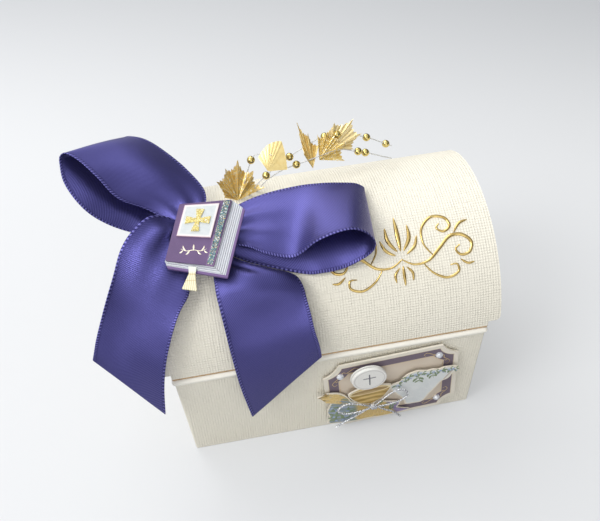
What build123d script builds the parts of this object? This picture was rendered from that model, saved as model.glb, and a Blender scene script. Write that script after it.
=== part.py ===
from build123d import *
import math
import os

# Gift box in the shape of a small chest: a card tray, a barrel lid on a paper
# hinge, a satin bow with a book-shaped ornament, a garland of gold leaves and
# a layered die-cut label on the front.
#
# Frame: millimetres, +Z up, origin at the centre of the tray's bottom face,
# X along the length, the front of the box towards -Y.

# Tray
TRAY_L = 100.0          # outer length at the rim
TRAY_W = 73.0           # outer width at the rim
TRAY_H = 42.0
TAPER = 1.0             # each wall leans out by this much from bottom to rim
SHELL = 1.4             # cream card wall
LINER = 1.0             # kraft card liner
BOTTOM = 1.2
FLOOR_CARD = 1.0
RIM_ROUND = 0.6

# Lid
BARREL_R = 36.52        # outer radius of the barrel
BARREL_Z = 38.88        # height of the barrel's axis
COVER = 0.6
LID_LINER = 1.0
LID_EDGE_Z = 42.9       # lower edge of the cream cover
LINER_EDGE_Z = 42.1     # lower edge of the kraft liner
LID_L = 108.6           # with the free eaves at both ends
EAVE_NOTCH = 1.8        # the eaves' lower corners sit this much higher
END_PANEL = 1.4
END_PANEL_X = 48.6      # inner face of each half-round end panel

# Hinge
HINGE_PAPER = 0.4
HINGE_Y = TRAY_W / 2 + HINGE_PAPER
HINGE_Z = TRAY_H
HINGE_GAP = 0.15
HINGE_L = 92.0

# Ribbon
RIBBON_T = 0.5          # satin ribbon, 25 mm wide, doubled selvedge
KNOT_X = -38.0
KNOT_L = 10.0
KNOT_H = 7.0
KNOT_FROM = 101.0       # degrees round the barrel, from +Y
KNOT_SPAN = 19.0

# Garland
WIRE_R = 0.2
BEAD_R = 1.25
FOIL_T = 0.3
RIB_R = 0.28            # wired midrib of a foil leaf

os.makedirs("parts", exist_ok=True)


def save(builder, name):
    builder.part.label = name
    export_step(builder.part, f"parts/{name}.step")
    print(f"{name:20s} solids {len(builder.part.solids())} volume {builder.part.volume:9.1f}")


def wall_outline(z, inset):
    """Size of the tray's outer rectangle at height z, drawn in by inset."""
    lean = 2 * TAPER * (1 - z / TRAY_H)
    return TRAY_L - lean - 2 * inset, TRAY_W - lean - 2 * inset


def tapered_block(inset, bottom, top, radius, mode=Mode.ADD):
    """A block with the tray's lean, between two heights."""
    ends = []
    for z in (bottom, top):
        length, width = wall_outline(z, inset)
        with BuildSketch(Plane.XY.offset(z)) as end:
            RectangleRounded(length, width, radius)
        ends.append(end.sketch)
    loft(ends, ruled=True, mode=mode)


# Tray shell: leaning walls, closed bottom, rim folded over and rounded
with BuildPart() as tray_shell:
    tapered_block(0, 0, TRAY_H, 0.8)
    tapered_block(SHELL, BOTTOM, TRAY_H, 0.3, Mode.SUBTRACT)
    rim = tray_shell.faces().sort_by(Axis.Z)[-1]
    fillet(rim.edges(), RIM_ROUND)
save(tray_shell, "tray_shell")

# Kraft liner inside the four walls
with BuildPart() as tray_liner:
    tapered_block(SHELL, BOTTOM, TRAY_H - 0.2, 0.3)
    tapered_block(SHELL + LINER, BOTTOM, TRAY_H - 0.2, 0.2, Mode.SUBTRACT)
save(tray_liner, "tray_liner")

# Loose kraft card on the bottom
with BuildPart() as floor_card:
    length, width = wall_outline(BOTTOM, SHELL + LINER + 0.15)
    with BuildSketch(Plane.XY.offset(BOTTOM)):
        RectangleRounded(length, width, 0.5)
    extrude(amount=FLOOR_CARD)
save(floor_card, "floor_card")

# The lid's side view: eaves whose lower corners are cut up and rounded
eave_x = LID_L / 2


def lid_side_view(bottom, notch_x, notch_z):
    with BuildSketch(Plane.XZ) as view:
        with BuildLine():
            Polyline(
                (-notch_x, bottom),
                (notch_x, bottom),
                (notch_x, notch_z),
                (eave_x - 1.5, notch_z),
            )
            ThreePointArc(
                (eave_x - 1.5, notch_z),
                (eave_x - 0.44, notch_z + 0.44),
                (eave_x, notch_z + 1.5),
            )
            Polyline(
                (eave_x, notch_z + 1.5),
                (eave_x, 90),
                (-eave_x, 90),
                (-eave_x, notch_z + 1.5),
            )
            ThreePointArc(
                (-eave_x, notch_z + 1.5),
                (-eave_x + 0.44, notch_z + 0.44),
                (-eave_x + 1.5, notch_z),
            )
            Polyline(
                (-eave_x + 1.5, notch_z),
                (-notch_x, notch_z),
                (-notch_x, bottom),
            )
        make_face()
    extrude(view.sketch, amount=60, both=True, mode=Mode.INTERSECT)


def barrel_sheet(outer, thickness, bottom):
    """Part of a tube round the barrel's axis, above the given height."""
    with BuildSketch(Plane.YZ.offset(-eave_x)) as ring:
        with Locations((0, BARREL_Z)):
            Circle(outer)
            Circle(outer - thickness, mode=Mode.SUBTRACT)
        with Locations((0, bottom - 50)):
            Rectangle(100, 100, mode=Mode.SUBTRACT)
    extrude(ring.sketch, amount=LID_L)


with BuildPart() as lid_cover:
    barrel_sheet(BARREL_R, COVER, LID_EDGE_Z)
    lid_side_view(LID_EDGE_Z - 0.1, 50.4, LID_EDGE_Z + EAVE_NOTCH)
save(lid_cover, "lid_cover")

with BuildPart() as lid_liner:
    barrel_sheet(BARREL_R - COVER, LID_LINER, LINER_EDGE_Z)
    lid_side_view(LINER_EDGE_Z - 0.1, 50.4, LID_EDGE_Z + EAVE_NOTCH)
save(lid_liner, "lid_liner")

# Half-round end panels, standing on the tray's side walls when closed
panel_r = BARREL_R - COVER - LID_LINER
for name, face_x in (("lid_end_left", -END_PANEL_X - END_PANEL), ("lid_end_right", END_PANEL_X)):
    with BuildPart() as end_panel:
        with BuildSketch(Plane.YZ.offset(face_x)):
            with Locations((0, BARREL_Z)):
                Circle(panel_r)
            with Locations((0, LINER_EDGE_Z - 50)):
                Rectangle(100, 100, mode=Mode.SUBTRACT)
        extrude(amount=END_PANEL)
    save(end_panel, name)

# Paper hinge: one leaf on the tray's back, one round the lid's back, with the
# crease between them on the hinge axis
with BuildPart() as hinge_leaf_tray:
    lean = math.degrees(math.atan(TAPER / TRAY_H))
    back = Plane(origin=(0, TRAY_W / 2, TRAY_H), x_dir=(1, 0, 0), z_dir=(0, 1, 0)).rotated((-lean, 0, 0))
    with BuildSketch(back):
        with Locations((0, 7.0)):
            Rectangle(HINGE_L, 14.0 - 2 * HINGE_GAP)
    extrude(amount=HINGE_PAPER)
save(hinge_leaf_tray, "hinge_leaf_tray")

with BuildPart() as hinge_leaf_lid:
    start = math.degrees(math.asin((HINGE_Z + HINGE_GAP - BARREL_Z) / (BARREL_R + HINGE_PAPER)))
    with BuildSketch(Plane.YZ.offset(-HINGE_L / 2)):
        with BuildLine():
            inner = CenterArc((0, BARREL_Z), BARREL_R, start, 14)
            outer = CenterArc((0, BARREL_Z), BARREL_R + HINGE_PAPER, start, 14)
            Line(inner @ 0, outer @ 0)
            Line(inner @ 1, outer @ 1)
        make_face()
    extrude(amount=HINGE_L)
save(hinge_leaf_lid, "hinge_leaf_lid")

# Wrapped centre of the bow, a puffed band seated on the barrel
with BuildPart() as bow_knot:
    with BuildSketch(Plane.YZ.offset(KNOT_X)):
        with BuildLine():
            inner = CenterArc((0, BARREL_Z), BARREL_R, KNOT_FROM, KNOT_SPAN)
            outer = CenterArc((0, BARREL_Z), BARREL_R + KNOT_H, KNOT_FROM, KNOT_SPAN)
            Line(inner @ 0, outer @ 0)
            Line(inner @ 1, outer @ 1)
        make_face()
    extrude(amount=KNOT_L)
    top = bow_knot.faces().filter_by(GeomType.CYLINDER).sort_by(Axis.Z)[-1]
    fillet(top.edges(), 1.8)


def curve_through(rows, steps):
    """Smooth the ribbon's stations: a cubic through them, in equal steps."""
    out = []
    last = len(rows) - 1
    for i in range(last):
        p0, p1 = rows[max(i - 1, 0)], rows[i]
        p2, p3 = rows[i + 1], rows[min(i + 2, last)]
        for k in range(steps):
            u = k / steps
            out.append([
                0.5 * (2 * b + (c - a) * u + (2 * a - 5 * b + 4 * c - d) * u * u
                       + (3 * b - a - 3 * c + d) * u ** 3)
                for a, b, c, d in zip(p0, p1, p2, p3)
            ])
    out.append(list(rows[last]))
    return out


def ribbon(stations, steps=2):
    """A length of ribbon: curved strips from selvedge to selvedge, lofted.

    Each station is a point on one selvedge, a point on the other, and how
    far the satin bulges between them.
    """
    rows = curve_through([near + far + (bulge,) for near, far, bulge in stations], steps)
    middles = [(Vector(*r[0:3]) + Vector(*r[3:6])) / 2 for r in rows]
    with BuildPart() as strip:
        for i, r in enumerate(rows):
            across = Vector(*r[3:6]) - Vector(*r[0:3])
            width = across.length
            across = across / width
            along = middles[min(i + 1, len(rows) - 1)] - middles[max(i - 1, 0)]
            along = along - across * along.dot(across)
            bulge = r[6] if abs(r[6]) > 0.05 else 0.05
            low, high = -RIBBON_T / 2, RIBBON_T / 2
            with BuildSketch(Plane(origin=middles[i], x_dir=across, z_dir=along)):
                with BuildLine():
                    ThreePointArc((-width / 2, low), (0, bulge + low), (width / 2, low))
                    Line((width / 2, low), (width / 2, high))
                    ThreePointArc((width / 2, high), (0, bulge + high), (-width / 2, high))
                    Line((-width / 2, high), (-width / 2, low))
                make_face()
        loft(ruled=True)
        add(bow_knot.part, mode=Mode.SUBTRACT)
    return strip


# Left loop: rises to the left over the end of the lid, folds over and comes
# back under itself. Near selvedge, far selvedge, bulge.
bow_loop_left = ribbon([
    ((-36.5, -13.5, 78.0), (-34.0, -7.5, 79.0), -0.3),
    ((-47.5, -2.8, 82.0), (-31.0, 3.5, 80.5), -0.6),
    ((-56.5, -1.0, 87.5), (-35.5, 12.0, 84.0), -1.2),
    ((-61.5, 4.0, 92.5), (-41.5, 19.0, 87.0), -1.2),
    ((-66.0, 9.0, 95.5), (-47.0, 24.0, 89.0), -0.8),
    ((-69.6, 11.8, 97.0), (-51.8, 26.2, 89.6), -0.4),
    ((-71.6, 12.2, 96.4), (-54.2, 26.8, 88.9), -0.2),
    ((-72.2, 10.6, 94.9), (-55.4, 25.9, 87.3), 0.4),
    ((-71.4, 4.5, 92.0), (-54.3, 20.8, 84.0), 1.2),
    ((-67.5, -2.0, 88.0), (-50.0, 14.0, 81.5), 1.2),
    ((-62.5, -5.0, 83.5), (-46.0, 7.5, 79.5), 0.8),
    ((-54.5, -7.0, 79.0), (-41.5, 1.0, 77.5), 0.2),
    ((-38.5, -12.5, 76.0), (-36.0, -6.5, 76.8), 0.2),
])
save(bow_loop_left, "bow_loop_left")

# Right loop: arches over the top of the lid, its open side to the front
bow_loop_right = ribbon([
    ((-29.0, -16.5, 78.0), (-29.5, -9.0, 79.8), 0.3),
    ((-21.5, -18.5, 77.0), (-22.0, -2.0, 79.0), 0.6),
    ((-16.5, -21.0, 75.5), (-13.0, 0.5, 79.8), 0.8),
    ((-8.5, -23.5, 74.5), (-2.5, 1.0, 80.5), 1.0),
    ((-2.0, -25.0, 81.0), (5.0, 0.5, 80.5), 0.6),
    ((4.5, -25.5, 84.0), (10.5, 0.0, 80.0), 0.2),
    ((9.5, -25.5, 84.0), (15.0, -0.5, 79.3), 0.1),
    ((13.5, -25.5, 81.0), (17.6, -1.0, 77.8), 0.1),
    ((15.5, -25.5, 77.0), (17.4, -0.8, 76.5), 0.1),
    ((14.5, -25.5, 73.5), (14.0, -0.5, 76.0), -0.9),
    ((11.0, -25.0, 70.2), (9.0, 0.5, 76.0), -2.3),
    ((6.0, -25.0, 68.0), (2.0, 1.0, 76.0), -2.9),
    ((-0.5, -25.0, 67.5), (-6.0, 1.0, 76.0), -2.9),
    ((-6.5, -24.0, 67.6), (-13.0, 0.0, 76.0), -2.9),
    ((-21.0, -19.5, 71.2), (-20.0, -3.5, 76.0), -1.5),
    ((-29.5, -15.5, 74.6), (-29.0, -8.0, 76.6), -0.3),
])
save(bow_loop_right, "bow_loop_right")

# Right tail: from under the loop, over the barrel's shoulder and down the
# front, cut on the slant
bow_tail_right = ribbon([
    ((-32.0, -17.5, 74.0), (-29.0, -16.5, 74.6), 0.0),
    ((-32.5, -21.5, 72.5), (-23.5, -20.5, 73.6), 0.6),
    ((-32.5, -24.5, 73.0), (-15.5, -23.5, 71.5), 1.2),
    ((-32.5, -27.0, 72.5), (-9.0, -25.3, 69.3), 1.8),
    ((-32.5, -30.0, 70.5), (-7.0, -28.5, 67.5), 1.6),
    ((-32.0, -34.0, 66.5), (-6.5, -31.5, 65.0), 0.4),
    ((-31.5, -37.5, 60.5), (-6.0, -35.0, 61.8), -0.6),
    ((-31.0, -39.5, 52.0), (-5.5, -38.0, 57.3), -0.6),
    ((-30.0, -40.5, 38.0), (-4.5, -39.3, 51.5), -0.2),
    ((-28.0, -40.5, 21.0), (-4.0, -39.5, 46.0), 0.0),
])
save(bow_tail_right, "bow_tail_right")

# Left tail: puffs up beside the knot and hangs past the lid's left end
bow_tail_left = ribbon([
    ((-37.2, -11.0, 79.0), (-35.5, -17.0, 76.4), 0.0),
    ((-41.8, -7.0, 82.0), (-37.8, -20.0, 75.2), 0.2),
    ((-47.8, -8.8, 86.0), (-38.8, -22.5, 73.4), 0.2),
    ((-53.5, -12.5, 84.5), (-39.4, -25.0, 71.8), 0.4),
    ((-57.5, -16.5, 81.5), (-40.5, -27.5, 69.6), 0.6),
    ((-60.5, -22.5, 77.5), (-43.5, -30.5, 67.0), 0.6),
    ((-64.0, -29.5, 73.0), (-46.5, -34.5, 63.0), -0.3),
    ((-67.5, -35.0, 67.0), (-50.0, -38.5, 55.0), -0.6),
    ((-69.0, -37.0, 63.5), (-52.5, -40.0, 44.5), -0.3),
    ((-70.0, -38.0, 61.0), (-54.5, -40.5, 31.0), 0.0),
])
save(bow_tail_left, "bow_tail_left")

with BuildPart() as bow_knot_cut:
    add(bow_knot.part)
save(bow_knot_cut, "bow_knot")

# Book-shaped ornament, built up in layers on a plane that leans to the front
book_up = Vector(0, -0.38, 0.925).normalized()
book_turn = math.radians(-10)
book_side = Vector(math.cos(book_turn), math.sin(book_turn), 0)
book_side = (book_side - book_up * book_side.dot(book_up)).normalized()
book = Plane(origin=(-33.5, -16.6, 80.4), x_dir=book_side, z_dir=book_up)


def layer(plane, outline, offset, thickness, corner=0.0):
    """A die-cut piece of card lying at a height above its plane."""
    with BuildPart() as card:
        with BuildSketch(plane.offset(offset)) as face:
            with BuildLine():
                Polyline(*outline, close=True)
            make_face()
            if corner:
                fillet(face.vertices(), corner)
        extrude(amount=thickness)
    return card


with BuildPart() as book_foam_pad:
    with BuildSketch(book.offset(-2.4)):
        Rectangle(8, 9)
    extrude(amount=2.4)
    add(bow_knot.part, mode=Mode.SUBTRACT)
save(book_foam_pad, "book_foam_pad")

save(layer(book, [(-7.3, 11.0), (8.1, 12.4), (11.8, 9.5), (7.1, -12.0), (-10.0, -8.9), (-10.8, -6.8)],
           0, 1.0, 0.3), "book_card")
save(layer(book, [(-7.3, 11.0), (8.1, 12.4), (3.1, -8.6), (-10.7, -6.8)], 1.0, 0.6, 0.4), "book_cover")
save(layer(book, [(-5.7, 10.4), (4.4, 11.0), (2.1, 0.1), (-7.7, 0.7)], 1.6, 0.5), "book_picture")
save(layer(book, [(5.6, 11.9), (7.6, 12.1), (2.8, -8.2), (1.2, -8.0)], 1.6, 0.25), "book_glitter_strip")
save(layer(book, [(-4.0, -8.6), (-1.7, -8.9), (-2.0, -11.0), (-1.4, -16.0), (-5.6, -15.3), (-3.8, -10.8)],
           1.0, 0.6, 0.15), "book_marker")

# Cross with flared arms, slanting with the picture card
lean_u = 0.20


def cross_point(u, v):
    return (-1.75 + u + lean_u * v, 5.55 + v)


cross_outline = []
for turn in range(4):
    for u, v in ((-0.55, 0.55), (-1.15, 3.5), (1.15, 3.5)):
        a = -turn * math.pi / 2
        cross_outline.append(cross_point(
            u * math.cos(a) - v * math.sin(a),
            u * math.sin(a) + v * math.cos(a),
        ))
save(layer(book, cross_outline, 2.1, 0.3), "book_cross")


def strand(points, radii):
    """Thin stiff strand along straight runs with rounded turns."""
    with BuildPart() as wire:
        with BuildLine():
            route = FilletPolyline(*points, radius=radii)
        with BuildSketch(Plane(origin=route @ 0, z_dir=route % 0)):
            Circle(WIRE_R)
        sweep()
        add(lid_cover.part, mode=Mode.SUBTRACT)
    return wire


# Three strands spring from behind the knot and arch over the lid's back
route_a = [(-20.5, 5.5, 74.6), (-17.8, 7.0, 83.0), (-15.0, 7.6, 90.2), (-9.5, 5.4, 90.4)]
route_b = [
    (-18.0, 6.5, 74.4), (-14.5, 5.2, 80.5), (-8.5, 6.2, 85.0), (-1.0, 8.2, 88.3), (6.5, 10.8, 90.2),
    (15.5, 11.4, 90.0), (24.0, 13.5, 84.5), (31.0, 15.5, 79.0),
]
route_c = [
    (-15.5, 8.0, 74.1), (-12.0, 7.4, 79.0), (-6.0, 7.0, 83.0), (2.0, 6.0, 85.8),
    (12.0, 7.6, 87.3), (21.5, 10.0, 82.0), (30.5, 13.0, 75.8),
]
garland_wire_a = strand(route_a, [6.0, 3.0])
garland_wire_b = strand(route_b, [6.0, 9.0, 9.0, 9.0, 7.0, 12.0])
garland_wire_c = strand(route_c, [6.0, 9.0, 9.0, 9.0, 12.0])
save(garland_wire_a, "garland_wire_a")
save(garland_wire_b, "garland_wire_b")
save(garland_wire_c, "garland_wire_c")


BEAD_HOLE_R = 0.32
# Where each bead sits: its strand, the run along it, and how far along
bead_seats = [
    (route_a, 1, 0.70),
    (route_b, 1, 0.45), (route_b, 2, 0.62), (route_b, 4, 0.16), (route_b, 4, 0.60),
    (route_b, 5, 0.75), (route_b, 6, 0.70),
    (route_c, 2, 0.50), (route_c, 4, 0.66), (route_c, 4, 0.93),
]
with BuildPart() as garland_beads:
    for route, run, share in bead_seats:
        start, end = Vector(*route[run]), Vector(*route[run + 1])
        with Locations(Plane(origin=start + (end - start) * share, z_dir=end - start)):
            Sphere(BEAD_R)
            Cylinder(BEAD_HOLE_R, 3 * BEAD_R, mode=Mode.SUBTRACT)
save(garland_beads, "garland_beads")


# Foil leaf: two toothed halves folded along the midrib. Along the rib and
# out from it, as shares of the length and of the width.
HALF_LEAF = [
    (0.0, 0.0), (0.04, 0.28), (0.12, 0.34), (0.08, 0.62), (0.24, 0.60), (0.34, 0.98),
    (0.46, 0.66), (0.60, 0.70), (0.66, 0.40), (0.80, 0.36), (0.84, 0.16), (1.0, 0.0),
]


def leaf(name, base, tip, facing, half_width, fold):
    rib = Vector(*tip) - Vector(*base)
    length = rib.length
    flat = Plane(origin=base, x_dir=rib, z_dir=Vector(*facing) - rib * (Vector(*facing).dot(rib) / length ** 2))
    with BuildPart() as foil:
        for side in (1, -1):
            with BuildSketch(flat.rotated((side * fold, 0, 0))):
                with BuildLine():
                    Polyline(*[(a * length, side * b * half_width) for a, b in HALF_LEAF], close=True)
                make_face()
            extrude(amount=FOIL_T)
        with Locations(Plane(origin=base, z_dir=rib)):
            Cylinder(RIB_R, length, align=(Align.CENTER, Align.CENTER, Align.MIN))
        for wire in (garland_wire_a, garland_wire_b, garland_wire_c):
            add(wire.part, mode=Mode.SUBTRACT)
    save(foil, name)


leaf("leaf_1", (-18.6, 3.2, 75.4), (-21.5, 4.6, 88.6), (0.1, -0.8, 0.6), 7.5, 20)
leaf("leaf_2", (-9.6, 5.0, 90.0), (-3.9, 6.8, 94.2), (0.2, -0.8, 0.5), 5.0, 26)
leaf("leaf_3", (2.6, 9.4, 89.7), (-1.2, 9.9, 98.0), (0.5, -0.8, 0.3), 4.0, 30)
leaf("leaf_4", (4.6, 6.2, 86.4), (12.2, 4.6, 93.0), (0.0, -0.9, 0.3), 5.0, 16)
leaf("leaf_5", (14.2, 11.6, 90.3), (20.0, 11.9, 96.4), (-0.1, -0.9, 0.5), 5.5, 12)

# Label on the tray's front wall, glued a little askew
front_lean = TAPER / TRAY_H
label_out = Vector(0, -1, -front_lean).normalized()
askew = math.radians(3.2)
label_side = Vector(math.cos(askew), 0, math.sin(askew))
label_side = (label_side - label_out * label_side.dot(label_out)).normalized()
label = Plane(
    origin=(19.5, -(TRAY_W / 2 - TAPER * (1 - 20.0 / TRAY_H)), 20.0),
    x_dir=label_side,
    z_dir=label_out,
)
PAD_T = 1.0
CARD_T = 0.6
LABEL_W = 45.0
LABEL_HT = 36.2
CUT_IN = 5.4

with BuildPart() as label_foam_pads:
    with BuildSketch(label):
        with Locations((-14, 11), (14, 11), (-14, -11), (14, -11)):
            Rectangle(8, 6)
    extrude(amount=PAD_T)
save(label_foam_pads, "label_foam_pads")

# Base card: each corner is cut in with a shallow hollow curve
half_w, half_h = LABEL_W / 2, LABEL_HT / 2
cut_low = half_h - CUT_IN - 0.4
cut_in_w, cut_in_h = half_w - 0.62 * CUT_IN, half_h - 0.62 * CUT_IN
with BuildPart() as label_card:
    with BuildSketch(label.offset(PAD_T)):
        with BuildLine():
            for su in (-1, 1):
                for sv in (-1, 1):
                    ThreePointArc(
                        (su * half_w, sv * cut_low),
                        (su * cut_in_w, sv * cut_in_h),
                        (su * (half_w - CUT_IN), sv * half_h),
                    )
                Line((su * half_w, -cut_low), (su * half_w, cut_low))
                Line((CUT_IN - half_w, su * half_h), (half_w - CUT_IN, su * half_h))
        make_face()
    extrude(amount=CARD_T)
save(label_card, "label_card")

top_of_base = PAD_T + CARD_T

with BuildPart() as layer_foam_pads:
    for spot, size, height in (
        ((-17.5, -9.5), (4, 4), 0.8),
        ((-8.0, -11.5), (5, 3), 0.8),
        ((8.0, -6.5), (7, 5), 1.2),
        ((15.0, 2.0), (5, 3), 1.2),
        ((-6.5, 2.8), (5, 1.8), 1.6),
        ((-7.9, 13.4), (5, 4), 2.1),
    ):
        with BuildSketch(label.offset(top_of_base)):
            with Locations(spot):
                Rectangle(*size)
        extrude(amount=height)
save(layer_foam_pads, "layer_foam_pads")

sprig_outline = [
    (-16.5, 2.9), (-22.2, 5.4), (-20.4, 3.6), (-25.6, 4.0), (-21.6, 2.2), (-23.8, 0.6), (-20.8, 0.2),
    (-22.8, -6.0), (-22.7, -13.6), (-13.3, -15.4), (-4.0, -15.8), (6.4, -14.9), (1.5, -11.8),
    (2.6, -8.6), (-3.0, -6.2), (-9.0, -4.4), (-14.0, -2.2),
]
save(layer(label, sprig_outline, top_of_base + 0.8, 0.4), "sprig_card")

page_outline = [
    (-0.6, 0.6), (-0.8, 3.4), (2.4, 4.4), (4.4, 7.0), (8.4, 8.8), (11.6, 7.8), (15.6, 7.2), (19.8, 7.4),
    (22.4, 6.0), (20.4, 3.2), (18.8, 0.4), (16.8, -0.4), (10.4, -10.8), (4.6, -10.4), (3.6, -6.4),
]
save(layer(label, page_outline, top_of_base + 1.2, 0.4), "page_card")

# Cup: a wide bowl on a short stem that runs under the cord bow
with BuildPart() as chalice_card:
    with BuildSketch(label.offset(top_of_base + 1.6)):
        with BuildLine():
            ThreePointArc((-15.2, 3.4), (-8.0, 6.2), (-0.6, 4.6))
            ThreePointArc((-0.6, 4.6), (-3.2, -1.6), (-8.6, -4.6))
            ThreePointArc((-8.6, -4.6), (-13.4, -1.4), (-15.2, 3.4))
        make_face()
    extrude(amount=0.5)
save(chalice_card, "chalice_card")

with BuildPart() as host_disc:
    with BuildSketch(label.offset(top_of_base + 2.1)):
        with Locations((-7.9, 11.6)):
            Circle(5.7)
    extrude(amount=0.9)
    fillet(host_disc.faces().sort_by(Axis.Y)[0].edges(), 0.3)
save(host_disc, "host_disc")

# Cut-glass stones: a low eight-sided crown on a round girdle
with BuildPart() as rhinestones:
    for spot in ((-16.9, 12.6), (15.9, 13.4), (15.9, -12.4)):
        for height, radius in ((0, 1.25), (0.5, 1.25), (1.1, 0.6)):
            with BuildSketch(label.offset(top_of_base + height)):
                with Locations(spot):
                    RegularPolygon(radius, 8)
            if height == 0.5:
                loft(ruled=True)
                with BuildSketch(label.offset(top_of_base + height)):
                    with Locations(spot):
                        RegularPolygon(radius, 8)
        loft(ruled=True)
save(rhinestones, "rhinestones")

# Silver cord tied in a small bow on the cup's stem
cord_r = 0.4
cord_plane = label.offset(top_of_base + 2.1 + 2 * cord_r)
knot_at = (-7.1, -4.9)
cord_routes = [
    ([(-8.0, -4.2, 0.35), (-12.5, -0.9, 0.35), (-17.2, 0.4, 0.35), (-20.0, -3.0, 0.35), (-17.0, -6.2, 0.35),
      (-12.2, -6.4, 0.35), (-8.0, -5.3, 0.35)], [5.0, 2.2, 1.4, 2.2, 5.0]),
    ([(-6.4, -4.1, 0.35), (-3.4, -0.4, 0.35), (1.4, 3.4, 0.35), (5.2, 0.0, 0.35), (3.4, -4.2, 0.35),
      (-2.0, -5.6, 0.35), (-6.0, -5.1, 0.35)], [5.0, 2.2, 1.6, 2.6, 5.0]),
    ([(-7.8, -5.6, -0.5), (-11.5, -8.8, -0.5), (-16.5, -11.6, -0.5), (-20.6, -14.8, -0.5)], [6.0, 8.0]),
    ([(-6.6, -5.8, -0.5), (-3.6, -9.2, -0.5), (0.2, -12.4, -0.5), (2.4, -16.2, -0.5)], [6.0, 6.0]),
]
with BuildPart() as cord_bow:
    with Locations(cord_plane.from_local_coords((*knot_at, 0))):
        Sphere(1.25)
    for points, radii in cord_routes:
        spatial = [cord_plane.from_local_coords(point) for point in points]
        with BuildLine():
            route = FilletPolyline(*spatial, radius=radii)
        with BuildSketch(Plane(origin=route @ 0, z_dir=route % 0)):
            Circle(cord_r)
        sweep()
    add(chalice_card.part, mode=Mode.SUBTRACT)
save(cord_bow, "cord_bow")
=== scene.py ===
# %% [markdown]
# # A small gift chest with a satin bow
#
# The object is a card box in the shape of a treasure chest. The tray and the
# barrel lid are covered in cream card with an embossed linen grain. On the
# lid sit a violet-blue satin bow, a little card book and a garland of gold
# leaves; on the front there is a layered die-cut label. The rigid card parts
# come from the CAD model. Here they get their finishes, and everything soft,
# crinkled or printed is built as a piece of its own.

# %% Load the frame
import contextlib
import math
import random

import bpy
from mathutils import Matrix, Vector


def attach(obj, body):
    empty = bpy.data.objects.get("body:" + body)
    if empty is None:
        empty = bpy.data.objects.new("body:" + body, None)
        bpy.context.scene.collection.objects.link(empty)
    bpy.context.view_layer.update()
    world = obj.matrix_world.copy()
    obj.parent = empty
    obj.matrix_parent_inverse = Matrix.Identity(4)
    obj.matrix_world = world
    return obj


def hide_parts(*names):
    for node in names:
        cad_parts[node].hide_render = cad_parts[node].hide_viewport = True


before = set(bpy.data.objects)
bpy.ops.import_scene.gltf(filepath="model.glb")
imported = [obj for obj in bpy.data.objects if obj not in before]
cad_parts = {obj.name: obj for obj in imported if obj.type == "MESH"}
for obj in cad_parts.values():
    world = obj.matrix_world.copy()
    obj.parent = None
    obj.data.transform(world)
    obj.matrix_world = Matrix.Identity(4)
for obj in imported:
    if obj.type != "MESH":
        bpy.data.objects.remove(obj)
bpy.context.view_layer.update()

MM = 0.001


# %% [markdown]
# ## Sizes of the box
#
# These are the CAD model's own sizes in millimetres. The walls lean out a
# little, so the tray's length and width are those of its top edge. The lid is
# part of a barrel whose axis runs along the box. Trim on the box finds its
# place from these few numbers.

# %% Sizes of the box
TRAY_L, TRAY_W, TRAY_H = 100.0, 73.0, 42.0
LEAN = 1.0
BARREL_R, BARREL_Z = 36.52, 38.88
print("tray:", TRAY_L, "x", TRAY_W, "x", TRAY_H, "mm, barrel radius", BARREL_R, "mm")

# %% [markdown]
# ## Camera
#
# The picture was taken from above, with the camera turned a little to the
# right and tipped. Three angles give the camera's axes, so the matrix can be
# written down directly; no tracking constraint is needed.

# %% Camera
CAMERA_PLACE = Vector((-26.24, -173.79, 231.40)) * MM
PITCH, YAW, ROLL = (math.radians(a) for a in (46.28, 7.39, -3.79))
LENS, SENSOR_W = 44.72, 36.0

forward = math.cos(PITCH)
ahead = Vector((math.sin(YAW) * forward, math.cos(YAW) * forward, -math.sin(PITCH)))
level = Vector((math.cos(YAW), -math.sin(YAW), 0.0))
above = level.cross(ahead)
camera_x = math.cos(ROLL) * level + math.sin(ROLL) * above
camera_y = math.cos(ROLL) * above - math.sin(ROLL) * level

camera_data = bpy.data.cameras.new("camera")
camera_data.lens = LENS
camera_data.sensor_width = SENSOR_W
camera_data.clip_start = 5 * MM
camera = bpy.data.objects.new("camera", camera_data)
bpy.context.collection.objects.link(camera)
turned = Matrix((camera_x, camera_y, -ahead)).transposed().to_4x4()
camera.matrix_world = Matrix.Translation(CAMERA_PLACE) @ turned
bpy.context.scene.camera = camera
bpy.context.scene.view_settings.view_transform = "Standard"
print("camera looks down by", round(math.degrees(PITCH), 1), "degrees")

# %% [markdown]
# ## Writing shaders as sums
#
# A material in Blender is a graph of nodes. Wiring it node by node is long to
# read, so one small class wraps a socket: adding or multiplying two wrapped
# sockets adds the Math node that does it. Every other node comes from the
# method `node`, which sets its options first and its sockets after.

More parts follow.
